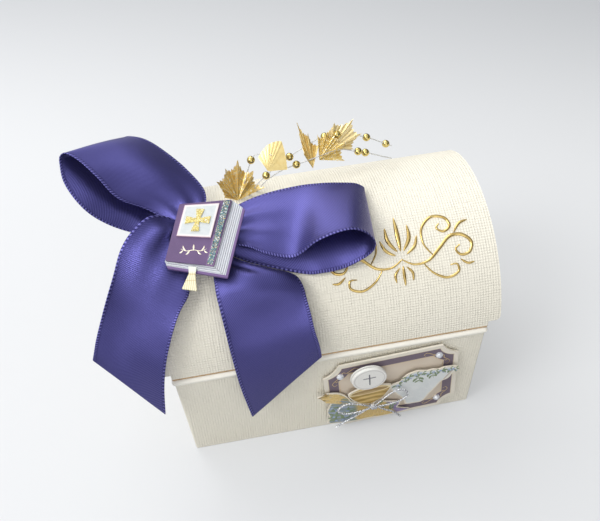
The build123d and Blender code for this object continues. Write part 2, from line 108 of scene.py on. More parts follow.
# %% The shader helper
class Shade:
    """An output socket in a material, usable in plain sums."""

    def __init__(self, tree, socket=None):
        self.tree = tree
        self.socket = socket

    def node(self, kind, settings=None, sockets=None, out=0):
        made = self.tree.nodes.new(kind)
        for name, value in (settings or {}).items():
            setattr(made, name, value)
        for name, value in (sockets or {}).items():
            if isinstance(value, Shade):
                self.tree.links.new(value.socket, made.inputs[name])
            elif isinstance(value, tuple) and len(made.inputs[name].default_value) > len(value):
                made.inputs[name].default_value = (*value, 1.0)
            else:
                made.inputs[name].default_value = value
        return Shade(self.tree, made.outputs[out] if made.outputs else None)

    def math(self, operation, *others):
        terms = (self,) + others
        return self.node("ShaderNodeMath", {"operation": operation}, dict(enumerate(terms)))

    def __add__(self, other):
        return self.math("ADD", other)

    __radd__ = __add__

    def __mul__(self, other):
        return self.math("MULTIPLY", other)

    __rmul__ = __mul__

    def __sub__(self, other):
        return self.math("SUBTRACT", other)

    def __rsub__(self, other):
        return self.node("ShaderNodeMath", {"operation": "SUBTRACT"}, {0: other, 1: self})

    def __truediv__(self, other):
        return self.math("DIVIDE", other)

    def __abs__(self):
        return self.math("ABSOLUTE")


print("a wrapped socket understands +, -, *, / and abs")

# %% Starting and ending a material
def new_finish(name):
    """An empty material, and the wrapped tree to draw it in."""
    material = bpy.data.materials.new(name)
    material.use_nodes = True
    material.node_tree.nodes.clear()
    return material, Shade(material.node_tree)


def close_finish(paper, sockets, covering=None):
    """Ends a material in a Principled shader, or in one given."""
    shader = covering or paper.node("ShaderNodeBsdfPrincipled", {}, sockets)
    paper.node("ShaderNodeOutputMaterial", {}, {"Surface": shader})


def object_place(paper):
    """A point's place on its piece, in metres."""
    return paper.node("ShaderNodeTexCoord", {}, {}, "Object")


def split(paper, vector):
    """The three numbers of a vector or a colour."""
    return [paper.node("ShaderNodeSeparateXYZ", {}, {0: vector}, i) for i in range(3)]


def join(paper, x, y, z=0.0):
    """A vector of three numbers."""
    return paper.node("ShaderNodeCombineXYZ", {}, {0: x, 1: y, 2: z})


def mix(paper, share, low, high):
    """A colour between low and high."""
    return paper.node("ShaderNodeMix", {"data_type": "RGBA"}, {0: share, 6: low, 7: high}, 2)


print("materials can be begun, mixed and closed")

# %% [markdown]
# Most patterns here come from a few parts: soft noise, a sine wave, random
# flakes, and a smooth step between two values. A bump turns a pattern into
# relief. For a print on a flat card the two coordinates are millimetres along
# and up the card, which two dot products give.

# %% Pattern parts
def step(paper, value, start, end):
    """0 before start, 1 after end, and a smooth rise between them."""
    return paper.node(
        "ShaderNodeMapRange",
        {"interpolation_type": "SMOOTHSTEP"},
        {"Value": value, "From Min": start, "From Max": end},
    )


def cloudy(paper, vector, scale, detail=2.0, rough=0.5):
    """Soft noise between 0 and 1."""
    sockets = {"Vector": vector, "Scale": scale, "Detail": detail, "Roughness": rough}
    return paper.node("ShaderNodeTexNoise", {}, sockets)


def speckle(paper, per_mm, detail=2.0, rough=0.5):
    """Soft noise over a piece, with about this many spots to a millimetre."""
    return cloudy(paper, object_place(paper), per_mm / MM, detail, rough)


def patchy(paper, u, v, detail=2.0, rough=0.5, w=0.0):
    """Soft noise over two coordinates, stretched by their factors."""
    return cloudy(paper, join(paper, u, v, w), 1.0, detail, rough)


def wave(value, pitch, shift=0.0):
    """A sine from -1 to 1 that repeats after each pitch."""
    return (value * (2 * math.pi / pitch) + shift).math("SINE")


def flakes(paper, per_mm):
    """Three random numbers for each flake of glitter."""
    sockets = {"Vector": object_place(paper), "Scale": per_mm / MM}
    return split(paper, paper.node("ShaderNodeTexVoronoi", {}, sockets, "Color"))


def raised(paper, height, depth, strength=1.0):
    """A bump, with its depth in millimetres."""
    return paper.node("ShaderNodeBump", {}, {"Height": height, "Distance": depth * MM, "Strength": strength})


def on_plane(paper, origin, side, up):
    """Millimetres along side and up from origin, for a pattern on a flat card."""
    place = object_place(paper)
    lengths = []
    for direction in (side, up):
        sockets = {0: place, 1: tuple(direction)}
        along = paper.node("ShaderNodeVectorMath", {"operation": "DOT_PRODUCT"}, sockets, "Value")
        lengths.append((along - origin.dot(direction)) * (1 / MM))
    return lengths


print("pattern parts ready")

# %% [markdown]
# ## Floor and light
#
# The box stands on a pale sweep under a big diffuser: most of the light is a
# broad sky, brighter overhead and to the left, so the satin has something to
# mirror, and three soft lamps give the shadow its direction. A photographer's
# white sweep is brighter in the picture than the light it throws back on the
# object, so the floor is a mid grey that keeps the real shadow, plus a glow
# that only the camera and reflections see.

# %% Tones of the set
FLOOR_LEFT = (0.33, 0.335, 0.34)
FLOOR_RIGHT = (0.29, 0.295, 0.295)
FLOOR_FAR = (0.03, 0.035, 0.04)
FLOOR_MATT = (0.42, 0.425, 0.43)
FLOOR_MIRRORED = 0.15
SKY_LOW, SKY_HIGH, SKY_SHOWN = 0.10, 1.10, 0.85
SKY_TONE = (0.96, 0.97, 1.0)
SKY_TOP = (-0.42, -0.10, 0.90)
LAMPS = (
    ("back", (-0.16, 0.46, 0.60), 0.60, 2.7),
    ("left", (-0.55, -0.25, 0.70), 0.45, 3.0),
    ("front", (0.05, -0.90, 0.22), 0.70, 1.5),
)
print("three lamps, a sky that is brighter above the left, and a pale sweep")

# %% Floor
def primitive(name, add, **settings):
    """A new primitive with a name, alone in the selection."""
    bpy.ops.object.select_all(action="DESELECT")
    add(**settings)
    piece = bpy.context.object
    piece.name = piece.data.name = name
    return piece


def seen_rays(paper, glossy):
    """1 for what the camera sees, and the given share for reflections."""
    camera_ray, glossy_ray, clear_ray = (
        paper.node("ShaderNodeLightPath", {}, {}, ray)
        for ray in ("Is Camera Ray", "Is Glossy Ray", "Is Transmission Ray")
    )
    return camera_ray.math("MAXIMUM", glossy_ray * glossy).math("MAXIMUM", clear_ray)


floor_finish, paper = new_finish("sweep")
across, away, _ = split(paper, object_place(paper))
# The floor's glow is painted light: brighter on the left, dimmer on the right and darker towards the back.
far = step(paper, away + across * 0.35, 0.08, 0.36)
right = step(paper, across, -0.24, 0.24)
glow_tone = mix(paper, right, FLOOR_LEFT, FLOOR_RIGHT)
glow_tone = mix(paper, far, glow_tone, FLOOR_FAR)
matt = paper.node("ShaderNodeBsdfDiffuse", {}, {"Color": FLOOR_MATT})
shown = seen_rays(paper, FLOOR_MIRRORED)
glow = paper.node("ShaderNodeEmission", {}, {"Color": glow_tone, "Strength": shown})
close_finish(paper, {}, paper.node("ShaderNodeAddShader", {}, {0: matt, 1: glow}))

floor = primitive("floor", bpy.ops.mesh.primitive_plane_add, size=4.0, location=(0, 0, -0.1 * MM))
floor.data.materials.append(floor_finish)
print("floor is", floor.dimensions.x, "m wide")

# %% Lamps and sky
world = bpy.data.worlds[0] if bpy.data.worlds else bpy.data.worlds.new("sky")
bpy.context.scene.world = world
world.use_nodes = True
world.node_tree.nodes.clear()
sky = Shade(world.node_tree)
height = sky.node(
    "ShaderNodeVectorMath",
    {"operation": "DOT_PRODUCT"},
    {0: sky.node("ShaderNodeTexCoord", {}, {}, "Generated"), 1: SKY_TOP},
    "Value",
)
dome = step(sky, height, -0.08, 1.0) * (SKY_HIGH - SKY_LOW) + SKY_LOW
shown = seen_rays(sky, 0.0)
brightness = dome * (1 - shown) + shown * SKY_SHOWN
air = sky.node("ShaderNodeBackground", {}, {"Color": SKY_TONE, "Strength": brightness})
sky.node("ShaderNodeOutputWorld", {}, {"Surface": air})


def soft_lamp(name, place, size, power):
    """A round lamp that faces the box."""
    data = bpy.data.lights.new(name, "AREA")
    data.shape = "DISK"
    data.size = size
    data.energy = power
    lamp = bpy.data.objects.new(name, data)
    bpy.context.collection.objects.link(lamp)
    lamp.location = place
    aim = Vector((0, 0, 0.04)) - Vector(place)
    lamp.rotation_euler = aim.to_track_quat("-Z", "Y").to_euler()


for name, place, size, power in LAMPS:
    soft_lamp(name, place, size, power)
print("lamps:", [name for name, *_ in LAMPS])

# %% [markdown]
# ## Cream linen card
#
# The covering card is pressed with a linen grain: two sets of fine threads,
# about 0.9 mm apart, crossing at a right angle and fading in and out. A sine
# wave gives each set, and a stretched noise breaks it into slubs. On the
# barrel the second set runs round the curve, so its coordinate is the angle
# about the barrel's axis times the radius.

# %% Linen card finish
THREAD = 0.86
SLUBS = (0.10, 0.74)
GROOVE_SHADE_SHARE = 0.10
GRAIN_DEPTH = 0.22


def linen(paper, u, v):
    """Height of the grain at u, v in millimetres, around 0 to 1."""
    drift = patchy(paper, u * 0.2, v * 0.2, 1.0) * 1.6
    threads_v = wave(u, THREAD, drift) * 0.5 + 0.5
    threads_u = wave(v, THREAD, drift * -1) * 0.5 + 0.5
    slub_v = step(paper, patchy(paper, u * 1.1, v * 0.22, 1.0), *SLUBS)
    slub_u = step(paper, patchy(paper, u * 0.22, v * 1.1, 1.0, w=7.0), *SLUBS)
    return threads_v * slub_v * 0.55 + threads_u * slub_u * 0.55


def linen_finish(name, on_barrel):
    """Cream card with its grain, laid flat or round the barrel."""
    material, paper = new_finish(name)
    x, y, z = split(paper, object_place(paper))
    if on_barrel:
        u, v = x * (1 / MM), y.math("ARCTAN2", z - BARREL_Z * MM) * BARREL_R
    else:
        u, v = (x + y) * (1 / MM), z * (1 / MM)
    grain = linen(paper, u, v)
    patches = speckle(paper, 0.045, 3.0)
    cream = mix(paper, patches, (0.865, 0.822, 0.690), (0.890, 0.852, 0.735))
    # The grooves between the threads are painted darker: this is painted shade.
    shaded_groove = mix(paper, GROOVE_SHADE_SHARE, cream, (0.52, 0.46, 0.36))
    cream = mix(paper, grain * 0.9, shaded_groove, cream)
    fibre = speckle(paper, 2.6, 2.0)
    close_finish(paper, {
        "Base Color": cream,
        "Roughness": 0.62 - grain * 0.10,
        "Specular IOR Level": 0.35,
        "Normal": raised(paper, grain + fibre * 0.08, GRAIN_DEPTH),
    })
    return material


linen_flat = linen_finish("linen_flat", False)
linen_barrel = linen_finish("linen_barrel", True)


def dress(node, material):
    """Gives a CAD node its finish."""
    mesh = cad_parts[node].data
    mesh.materials.clear()
    mesh.materials.append(material)


for node in ("tray_shell", "lid_end_left", "lid_end_right", "hinge_leaf_tray"):
    dress(node, linen_flat)
for node in ("lid_cover", "hinge_leaf_lid"):
    dress(node, linen_barrel)
print("linen threads are", THREAD, "mm apart")

# %% [markdown]
# ## Kraft card
#
# The liners are plain tan card. Short pressed fibres lie mostly one way, and
# a few darker flecks are scattered in them.

# %% Kraft card finish
kraft, paper = new_finish("kraft_card")
stretched = paper.node("ShaderNodeMapping", {}, {"Vector": object_place(paper), "Scale": (0.35, 1.0, 1.0)})
fibres = cloudy(paper, stretched, 1.5 / MM, 4.0, 0.65)
flecks = step(paper, speckle(paper, 0.7, 1.0), 0.66, 0.72)
tan = mix(paper, fibres, (0.47, 0.30, 0.15), (0.62, 0.43, 0.25))
tan = mix(paper, flecks * 0.35, tan, (0.25, 0.14, 0.06))
close_finish(paper, {
    "Base Color": tan,
    "Roughness": 0.85 - fibres * 0.1,
    "Specular IOR Level": 0.2,
    "Normal": raised(paper, fibres, 0.06, 0.6),
})
for node in ("tray_liner", "floor_card", "lid_liner"):
    dress(node, kraft)
print("kraft card on the liners")

# %% [markdown]
# ## Satin ribbon
#
# The bow is 25 mm satin ribbon. Satin threads float over one another in fine
# slanting ribs, so the ribbon shines in its own colour and not in white. A
# mostly metallic shader does the same, because a metal tints what it mirrors.
# Each edge is a narrow woven selvedge with a row of tiny stitches. The pattern
# follows the cloth, so it reads the ribbon's own UV map: u from edge to edge,
# v along the length, both in ribbon widths.

# %% Satin finish
RIBBON_W = 25.0
RIB, STITCH = 0.60, 0.95
SELVEDGE = 1.0

satin, paper = new_finish("satin_ribbon")
uv = paper.node("ShaderNodeUVMap", {"uv_map": "ribbon"}, {})
u, v, _ = split(paper, uv)
across, along = u * RIBBON_W, v * RIBBON_W
edge = across.math("MINIMUM", RIBBON_W - across)
selvedge = 1 - step(paper, edge, 0.75, 0.95)
rib = wave(across * 0.9 + along, RIB) * 0.5 + 0.5
floats = patchy(paper, (across + along) * 0.9, (across - along) * 5.0, 4.0, 0.7)
stitch = step(paper, wave(along, STITCH, across * 2.2), -0.25, 0.35)
shaded_groove = step(paper, abs(edge - SELVEDGE), 0.0, 0.22)
weave = (1 - selvedge) * (rib * 0.45 + floats * 0.55) + selvedge * stitch
cloth = mix(paper, weave, (0.034, 0.031, 0.140), (0.138, 0.131, 0.400))
# The line beside each selvedge is painted darker, as painted shade in its groove.
cloth = mix(paper, (1 - shaded_groove) * 0.5, cloth, (0.030, 0.026, 0.12))
cloth = mix(paper, selvedge * stitch * 0.45, cloth, (0.20, 0.19, 0.48))
slack = patchy(paper, across * 0.06, along * 0.06, 2.0)
close_finish(paper, {
    "Base Color": cloth,
    "Metallic": 0.82,
    "Roughness": 0.26 + selvedge * 0.18 + slack * 0.06,
    "Specular IOR Level": 0.35,
    "Sheen Weight": 0.10,
    "Sheen Roughness": 0.45,
    "Sheen Tint": (0.55, 0.52, 1.0),
    "Normal": raised(paper, weave, 0.12, 0.70),
})
print("satin ribs are", RIB, "mm apart")

# %% [markdown]
# A length of ribbon is a grid of points. Its path is given by stations: where
# the near edge is, where the far edge is, and how far the cloth bulges
# between them. A cubic curve runs through the stations, and the rows between
# the edges are filled in. Pleats are waves across the ribbon that fade out
# along it; one with a count of 0 is a single soft bulge over the whole width.
# The columns lie closer together near the edges. Solidify then gives the cloth
# its thickness, a little more along the selvedges, and a subdivision smooths
# it.

# %% Meshes from points
def through(rows, steps):
    """Points on a cubic curve that passes through every row of numbers."""
    out = []
    last = len(rows) - 1
    for i in range(last):
        p0, p1, p2, p3 = rows[max(i - 1, 0)], rows[i], rows[i + 1], rows[min(i + 2, last)]
        for k in range(steps):
            t = k / steps
            out.append([
                0.5 * (2 * b + (c - a) * t + (2 * a - 5 * b + 4 * c - d) * t * t
                       + (3 * b - a - 3 * c + d) * t ** 3)
                for a, b, c, d in zip(p0, p1, p2, p3)
            ])
    out.append(list(rows[last]))
    return out


def mesh_piece(name, points, faces, materials):
    """A new object from points in millimetres."""
    mesh = bpy.data.meshes.new(name)
    mesh.from_pydata([Vector(p) * MM for p in points], [], faces)
    for material in materials:
        mesh.materials.append(material)
    piece = bpy.data.objects.new(name, mesh)
    bpy.context.collection.objects.link(piece)
    return piece


def only(piece):
    """Selects this piece alone, ready for an operator."""
    bpy.ops.object.select_all(action="DESELECT")
    piece.select_set(True)
    bpy.context.view_layer.objects.active = piece


def apply_modifier(piece, name, kind, **settings):
    """Adds a modifier and makes its result the mesh."""
    only(piece)
    modifier = piece.modifiers.new(name, kind)
    for key, value in settings.items():
        setattr(modifier, key, value)
    bpy.ops.object.modifier_apply(modifier=name)


def smooth(piece):
    """Shades every face as part of one curved surface."""
    piece.data.polygons.foreach_set("use_smooth", [True] * len(piece.data.polygons))


def lay_pattern(piece, places):
    """Gives each point of a ribbon its place (u, v) in the weave."""
    layer = piece.data.uv_layers.new(name="ribbon")
    for loop in piece.data.loops:
        layer.data[loop.index].uv = places[loop.vertex_index]


def distances(line):
    """How far along a line each of its points lies."""
    run = [0.0]
    for a, b in zip(line, line[1:]):
        run.append(run[-1] + (b - a).length)
    return run


print("mesh helpers ready")

# %% Ribbon maker
CLOTH_T = 0.34
ROWS = 5
EDGE_PART = 0.04
COLUMNS = [0.0, 0.016, 0.034, 0.05, 0.10, 0.17, 0.25, 0.33, 0.41, 0.5]
COLUMNS += [1 - c for c in reversed(COLUMNS[:-1])]


def selvedge_weight(u):
    """1 at the ribbon's edges, less in the middle."""
    edge = min(u, 1 - u)
    return 1.0 if edge < EDGE_PART / 2 else 0.75 if edge < EDGE_PART else 0.55


def ribbon(name, stations, pleats):
    """A ribbon over its stations. Each pleat is (place along in mm, reach, depth, count, shift)."""
    rows = through([near + far + (bulge,) for near, far, bulge in stations], ROWS)
    near_edge, far_edge = [Vector(r[0:3]) for r in rows], [Vector(r[3:6]) for r in rows]
    middle = [(a + b) / 2 for a, b in zip(near_edge, far_edge)]
    run = distances(middle)
    last = len(rows) - 1
    points, places = [], []
    for i, row in enumerate(rows):
        chord = far_edge[i] - near_edge[i]
        along = middle[min(i + 1, last)] - middle[max(i - 1, 0)]
        out = along.cross(chord).normalized()
        for u in COLUMNS:
            lift = row[6] * (1 - (2 * u - 1) ** 2)
            for at, reach, depth, count, shift in pleats:
                fade = math.exp(-((run[i] - at) / reach) ** 2) * math.sin(math.pi * u) ** 0.6
                lift += depth * fade * math.sin(2 * math.pi * (count * u + shift))
            points.append(near_edge[i] + chord * u + out * lift)
            places.append((u, run[i] / RIBBON_W))
    n = len(COLUMNS)
    corners = [i * n + j for i in range(last) for j in range(n - 1)]
    piece = mesh_piece(name, points, [(a + n, a + n + 1, a + 1, a) for a in corners], [satin])
    lay_pattern(piece, places)
    thick = piece.vertex_groups.new(name="selvedge")
    for i, (u, _) in enumerate(places):
        thick.add([i], selvedge_weight(u), "REPLACE")
    apply_modifier(piece, "cloth", "SOLIDIFY", thickness=CLOTH_T * MM, offset=0.0,
                   vertex_group="selvedge", use_even_offset=False)
    apply_modifier(piece, "smooth", "SUBSURF", levels=1, render_levels=1)
    smooth(piece)
    print(f"{name}: {run[-1]:.1f} mm long, {len(piece.data.polygons)} faces")
    return piece, run[-1]


print("ribbon maker: a grid of", len(COLUMNS), "columns, with", ROWS, "rows to a station")

# %% [markdown]
# The left loop rises over the end of the lid, folds over and comes back under
# itself. The right loop arches over the lid with its open side to the front.
# The two tails leave the knot under the loops and end in slanted cuts.

# %% Stations of the bow
LOOP_LEFT = [
    ((-36.5, -13.5, 78.0), (-34.0, -7.5, 79.0), -0.3),
    ((-47.5, -2.8, 82.0), (-31.0, 3.5, 80.5), -0.6),
    ((-56.5, -1.0, 87.5), (-35.5, 12.0, 84.0), -1.2),
    ((-61.5, 4.0, 92.5), (-41.5, 19.0, 87.0), -1.2),
    ((-66.0, 9.0, 95.5), (-47.0, 24.0, 89.0), -0.8),
    ((-69.6, 11.8, 97.0), (-51.8, 26.2, 89.6), -0.4),
    ((-71.6, 12.2, 96.4), (-54.2, 26.8, 88.9), -0.2),
    ((-72.2, 10.6, 94.9), (-55.4, 25.9, 87.3), 0.4),
    ((-71.4, 4.5, 92.0), (-54.3, 20.8, 84.0), 1.2),
    ((-67.5, -2.0, 88.0), (-50.0, 14.0, 81.5), 1.2),
    ((-62.5, -5.0, 83.5), (-46.0, 7.5, 79.5), 0.8),
    ((-54.5, -7.0, 79.0), (-41.5, 1.0, 77.5), 0.2),
    ((-38.5, -12.5, 76.0), (-36.0, -6.5, 76.8), 0.2),
]
LOOP_RIGHT = [
    ((-29.0, -16.5, 78.0), (-29.5, -9.0, 79.8), 0.3),
    ((-21.5, -18.5, 77.0), (-22.0, -2.0, 79.0), 0.6),
    ((-16.5, -21.0, 75.5), (-13.0, 0.5, 79.8), 0.8),
    ((-8.5, -23.5, 74.5), (-2.5, 1.0, 80.5), 1.0),
    ((-2.0, -25.0, 81.0), (5.0, 0.5, 80.5), 0.6),
    ((4.5, -25.5, 84.0), (10.5, 0.0, 80.0), 0.2),
    ((9.5, -25.5, 84.0), (15.0, -0.5, 79.3), 0.1),
    ((13.5, -25.5, 81.0), (17.6, -1.0, 77.8), 0.1),
    ((15.5, -25.5, 77.0), (17.4, -0.8, 76.5), 0.1),
    ((14.5, -25.5, 73.5), (14.0, -0.5, 76.0), -0.9),
    ((11.0, -25.0, 70.2), (9.0, 0.5, 76.0), -2.3),
    ((6.0, -25.0, 68.0), (2.0, 1.0, 76.0), -2.9),
    ((-0.5, -25.0, 67.5), (-6.0, 1.0, 76.0), -2.9),
    ((-6.5, -24.0, 67.6), (-13.0, 0.0, 76.0), -2.9),
    ((-21.0, -19.5, 71.2), (-20.0, -3.5, 76.0), -1.5),
    ((-29.5, -15.5, 74.6), (-29.0, -8.0, 76.6), -0.3),
]
TAIL_RIGHT = [
    ((-32.0, -17.5, 74.0), (-29.0, -16.5, 74.6), 0.0),
    ((-32.5, -21.5, 72.5), (-23.5, -20.5, 73.6), 0.6),
    ((-32.5, -24.5, 73.0), (-15.5, -23.5, 71.5), 1.2),
    ((-32.5, -27.0, 72.5), (-9.0, -25.3, 69.3), 1.8),
    ((-32.5, -30.0, 70.5), (-7.0, -28.5, 67.5), 1.6),
    ((-32.0, -34.0, 66.5), (-6.5, -31.5, 65.0), 0.4),
    ((-31.5, -37.5, 60.5), (-6.0, -35.0, 61.8), -0.6),
    ((-31.0, -39.5, 52.0), (-5.5, -38.0, 57.3), -0.6),
    ((-30.0, -40.5, 38.0), (-4.5, -39.3, 51.5), -0.2),
    ((-28.0, -40.5, 21.0), (-4.0, -39.5, 46.0), 0.0),
]
TAIL_LEFT = [
    ((-37.2, -11.0, 79.0), (-35.5, -17.0, 76.4), 0.0),
    ((-41.8, -7.0, 82.0), (-37.8, -20.0, 75.2), 0.2),
    ((-47.8, -8.8, 86.0), (-38.8, -22.5, 73.4), 0.2),
    ((-53.5, -12.5, 84.5), (-39.4, -25.0, 71.8), 0.4),
    ((-57.5, -16.5, 81.5), (-40.5, -27.5, 69.6), 0.6),
    ((-60.5, -22.5, 77.5), (-43.5, -30.5, 67.0), 0.6),
    ((-64.0, -29.5, 73.0), (-46.5, -34.5, 63.0), -0.3),
    ((-67.5, -35.0, 67.0), (-50.0, -38.5, 55.0), -0.6),
    ((-69.0, -37.0, 63.5), (-52.5, -40.0, 44.5), -0.3),
    ((-70.0, -38.0, 61.0), (-54.5, -40.5, 31.0), 0.0),
]
print("stations:", len(LOOP_LEFT), len(LOOP_RIGHT), len(TAIL_RIGHT), len(TAIL_LEFT))

# %% Bow loops and tails
RIBBONS = (
    ("satin_loop_left", "bow_loop_left", LOOP_LEFT,
     [(0, 14, 0.8, 3.0, 0.1), (24, 12, 0.8, 1.0, 0.1), (88, 14, 0.7, 2.5, 0.4)]),
    ("satin_loop_right", "bow_loop_right", LOOP_RIGHT,
     [(2, 14, 0.8, 3.0, 0.3), (92, 14, 0.7, 2.5, 0.1)]),
    ("satin_tail_right", "bow_tail_right", TAIL_RIGHT,
     [(4, 10, 0.5, 2.5, 0.2), (16, 6, 1.1, 0, 0.25), (27, 6, -1.2, 0, 0.25), (44, 9, 0.5, 1.0, 0.1)]),
    ("satin_tail_left", "bow_tail_left", TAIL_LEFT,
     [(8, 10, 0.8, 3.0, 0.4), (15, 6, 1.0, 0, 0.25), (27, 7, -1.3, 0, 0.25), (42, 9, 0.6, 1.0, 0.4)]),
)
for name, node, stations, pleats in RIBBONS:
    piece, length = ribbon(name, stations, pleats)
    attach(piece, "lid")
    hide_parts(node)
    length * MM

# %% [markdown]
# The knot is the same ribbon, folded narrow and wrapped round the middle of
# the bow. From the side it is an arch that stands on the lid. Three soft
# pleats run along it, and its edges are turned in.

# %% Knot
KNOT_X, KNOT_L, KNOT_H = -38.0, 10.0, 7.0
KNOT_FROM, KNOT_SPAN = 101.0, 19.0
KNOT_T = 0.5


def knot_point(t, s):
    """t runs over the arch from front to back, s from the left edge to the right."""
    angle = math.radians(KNOT_FROM + KNOT_SPAN * (0.5 + 0.52 * math.cos(math.pi * t)))
    arch = math.sin(math.pi * t) ** 0.42
    crown = math.sin(math.pi * s) ** 0.5
    fold = 0.28 * abs(math.sin(3 * math.pi * s + 0.4)) + 0.8 * crown
    reach = BARREL_R + 0.1 + (KNOT_H - 1.25) * arch * (0.86 + 0.14 * crown) + fold * arch
    pinch = 0.6 * math.sin(math.pi * t)
    x = KNOT_X + 0.3 + pinch + (KNOT_L - 0.6 - 2 * pinch) * s
    return x, reach * math.cos(angle), BARREL_Z + reach * math.sin(angle)


KNOT_ROWS, KNOT_COLUMNS = 26, 25
knot_down, knot_over = ([i / (n - 1) for i in range(n)] for n in (KNOT_ROWS, KNOT_COLUMNS))
knot_grid = [(t, s) for t in knot_down for s in knot_over]
knot_corners = [i * KNOT_COLUMNS + j for i in range(KNOT_ROWS - 1) for j in range(KNOT_COLUMNS - 1)]
knot_faces = [(a, a + KNOT_COLUMNS, a + KNOT_COLUMNS + 1, a + 1) for a in knot_corners]
knot = mesh_piece("satin_knot", [knot_point(t, s) for t, s in knot_grid], knot_faces, [satin])
lay_pattern(knot, [(0.06 + 0.88 * s, t * 1.1) for t, s in knot_grid])
apply_modifier(knot, "cloth", "SOLIDIFY", thickness=KNOT_T * MM, offset=-1.0)
apply_modifier(knot, "smooth", "SUBSURF", levels=1, render_levels=1)
smooth(knot)
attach(knot, "lid")
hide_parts("bow_knot")
print("knot wraps", len(knot.data.polygons), "faces round the bow")

# %% [markdown]
# ## The book ornament
#
# The little book is die-cut card in layers: the printed page edges with a
# purple back board, the purple cover, a strip of glitter, a framed panel and
# a cross of gold glitter, with a pale tassel below. Their shapes are the CAD
# model's. Each print is drawn from two coordinates, millimetres along and up
# the plane on which the ornament lies.

# %% The book's plane
BOOK_AT = Vector((-33.5, -16.6, 80.4)) * MM
BOOK_TURN = math.radians(-10)


def square_to(out, side):
    """The side and up directions of a plane, from what faces out and roughly where its side runs."""
    side = (side - out * side.dot(out)).normalized()
    return side, out.cross(side)


book_out = Vector((0, -0.38, 0.925)).normalized()
book_side, book_up = square_to(book_out, Vector((math.cos(BOOK_TURN), math.sin(BOOK_TURN), 0)))


def on_book(paper):
    """Millimetres along and up the book ornament."""
    return on_plane(paper, BOOK_AT, book_side, book_up)


def from_edge(u, v, start, end):
    """Distance inwards from a straight edge, on its left-hand side."""
    run = Vector((end[0] - start[0], end[1] - start[1])).normalized()
    return u * (-run.y) + v * run.x + (start[0] * run.y - start[1] * run.x)


print("book lies on a plane leaning", round(math.degrees(math.acos(book_out.z))), "degrees to the front")

# %% Page edges and back board
PAGE_GAP = 0.62
BOOK_LEFT, BOOK_LOW, BOOK_RIGHT = (-10.0, -8.9), (7.1, -12.0), (11.8, 9.5)

pages, paper = new_finish("page_edges")
u, v = on_book(paper)
in_right = from_edge(u, v, BOOK_LOW, BOOK_RIGHT)
in_low = from_edge(u, v, BOOK_LEFT, BOOK_LOW)
right_side = step(paper, in_low - in_right * 0.57, -0.10, 0.10)
depth = right_side * in_right + (1 - right_side) * in_low
leaf_lines = wave(depth, PAGE_GAP, patchy(paper, u * 0.3, v * 0.3) * 2.5)
print_tone = mix(paper, leaf_lines * 0.5 + 0.5, (0.40, 0.42, 0.46), (0.82, 0.83, 0.86))
shine = patchy(paper, u * 0.5, v * 0.5, 3.0)
print_tone = mix(paper, step(paper, shine, 0.35, 0.75) * 0.35, print_tone, (0.62, 0.68, 0.74))
board = 1 - step(paper, in_right.math("MINIMUM", in_low), 0.62, 0.82)
print_tone = mix(paper, board, print_tone, (0.17, 0.10, 0.25))
close_finish(paper, {
    "Base Color": print_tone,
    "Metallic": (1 - board) * 0.25,
    "Roughness": 0.34 + board * 0.12,
    "Normal": raised(paper, leaf_lines * (1 - board), 0.10, 0.8),
})
dress("book_card", pages)
print("page edges are", PAGE_GAP, "mm apart")

# %% Cover
cover_print, paper = new_finish("cover_print")
u, v = on_book(paper)
shade = patchy(paper, u * 0.16, v * 0.16, 3.0)
fine = patchy(paper, u * 3.0, v * 3.0, 2.0)
violet = mix(paper, shade, (0.080, 0.042, 0.120), (0.145, 0.082, 0.195))
flap = step(paper, from_edge(u, v, (1.6, 1.9), (7.0, -0.9)), -0.08, 0.0)
flap = (1 - flap) * step(paper, u - v * 0.20, 2.4, 2.9)
violet = mix(paper, flap * 0.5, violet, (0.42, 0.24, 0.46))
violet = mix(paper, fine * 0.12, violet, (0.40, 0.30, 0.50))
close_finish(paper, {
    "Base Color": violet,
    "Roughness": 0.42,
    "Normal": raised(paper, fine, 0.02, 0.5),
})
dress("book_cover", cover_print)
print("violet cover with a paler flap")

# %% Framed panel
PANEL = [(-5.7, 10.4), (-7.7, 0.7), (2.1, 0.1), (4.4, 11.0)]

panel_print, paper = new_finish("panel_print")
u, v = on_book(paper)
inside = from_edge(u, v, PANEL[0], PANEL[1])
for start, end in zip(PANEL[1:], PANEL[2:] + PANEL[:1]):
    inside = inside.math("MINIMUM", from_edge(u, v, start, end))
frame_line = 1 - step(paper, inside, 0.62, 0.74)
# The pink line along the panel's very edge is a painted shadow.
rim = 1 - step(paper, inside, 0.10, 0.20)
silver = mix(paper, patchy(paper, u * 0.7, v * 0.7, 3.0), (0.52, 0.56, 0.57), (0.72, 0.75, 0.74))
silver = mix(paper, frame_line, silver, (0.76, 0.75, 0.73))
silver = mix(paper, rim * 0.6, silver, (0.72, 0.42, 0.50))
close_finish(paper, {"Base Color": silver, "Roughness": 0.40, "Metallic": (1 - frame_line) * 0.15})
dress("book_picture", panel_print)
print("panel has", len(PANEL), "corners")

# %% Glitter cross and strip
def glitter_finish(name, tone_of, flakes_per_mm, metallic, roughness):
    """Glitter: every flake has its own tilt and tone."""
    material, paper = new_finish(name)
    red, green, blue = flakes(paper, flakes_per_mm)
    close_finish(paper, {
        "Base Color": tone_of(paper, red, green, blue),
        "Metallic": metallic,
        "Roughness": roughness + blue * 0.30,
        "Normal": raised(paper, red + green, 0.20, 0.8),
    })
    return material


# Each tone function gets a flake's three random numbers; gold needs two.
def gold_flakes(paper, red, green, _blue):
    tone = mix(paper, red, (0.68, 0.52, 0.14), (1.0, 0.88, 0.38))
    # Flakes painted nearly white are painted glints.
    return mix(paper, step(paper, green, 0.86, 0.90) * 0.8, tone, (1.0, 0.97, 0.86))


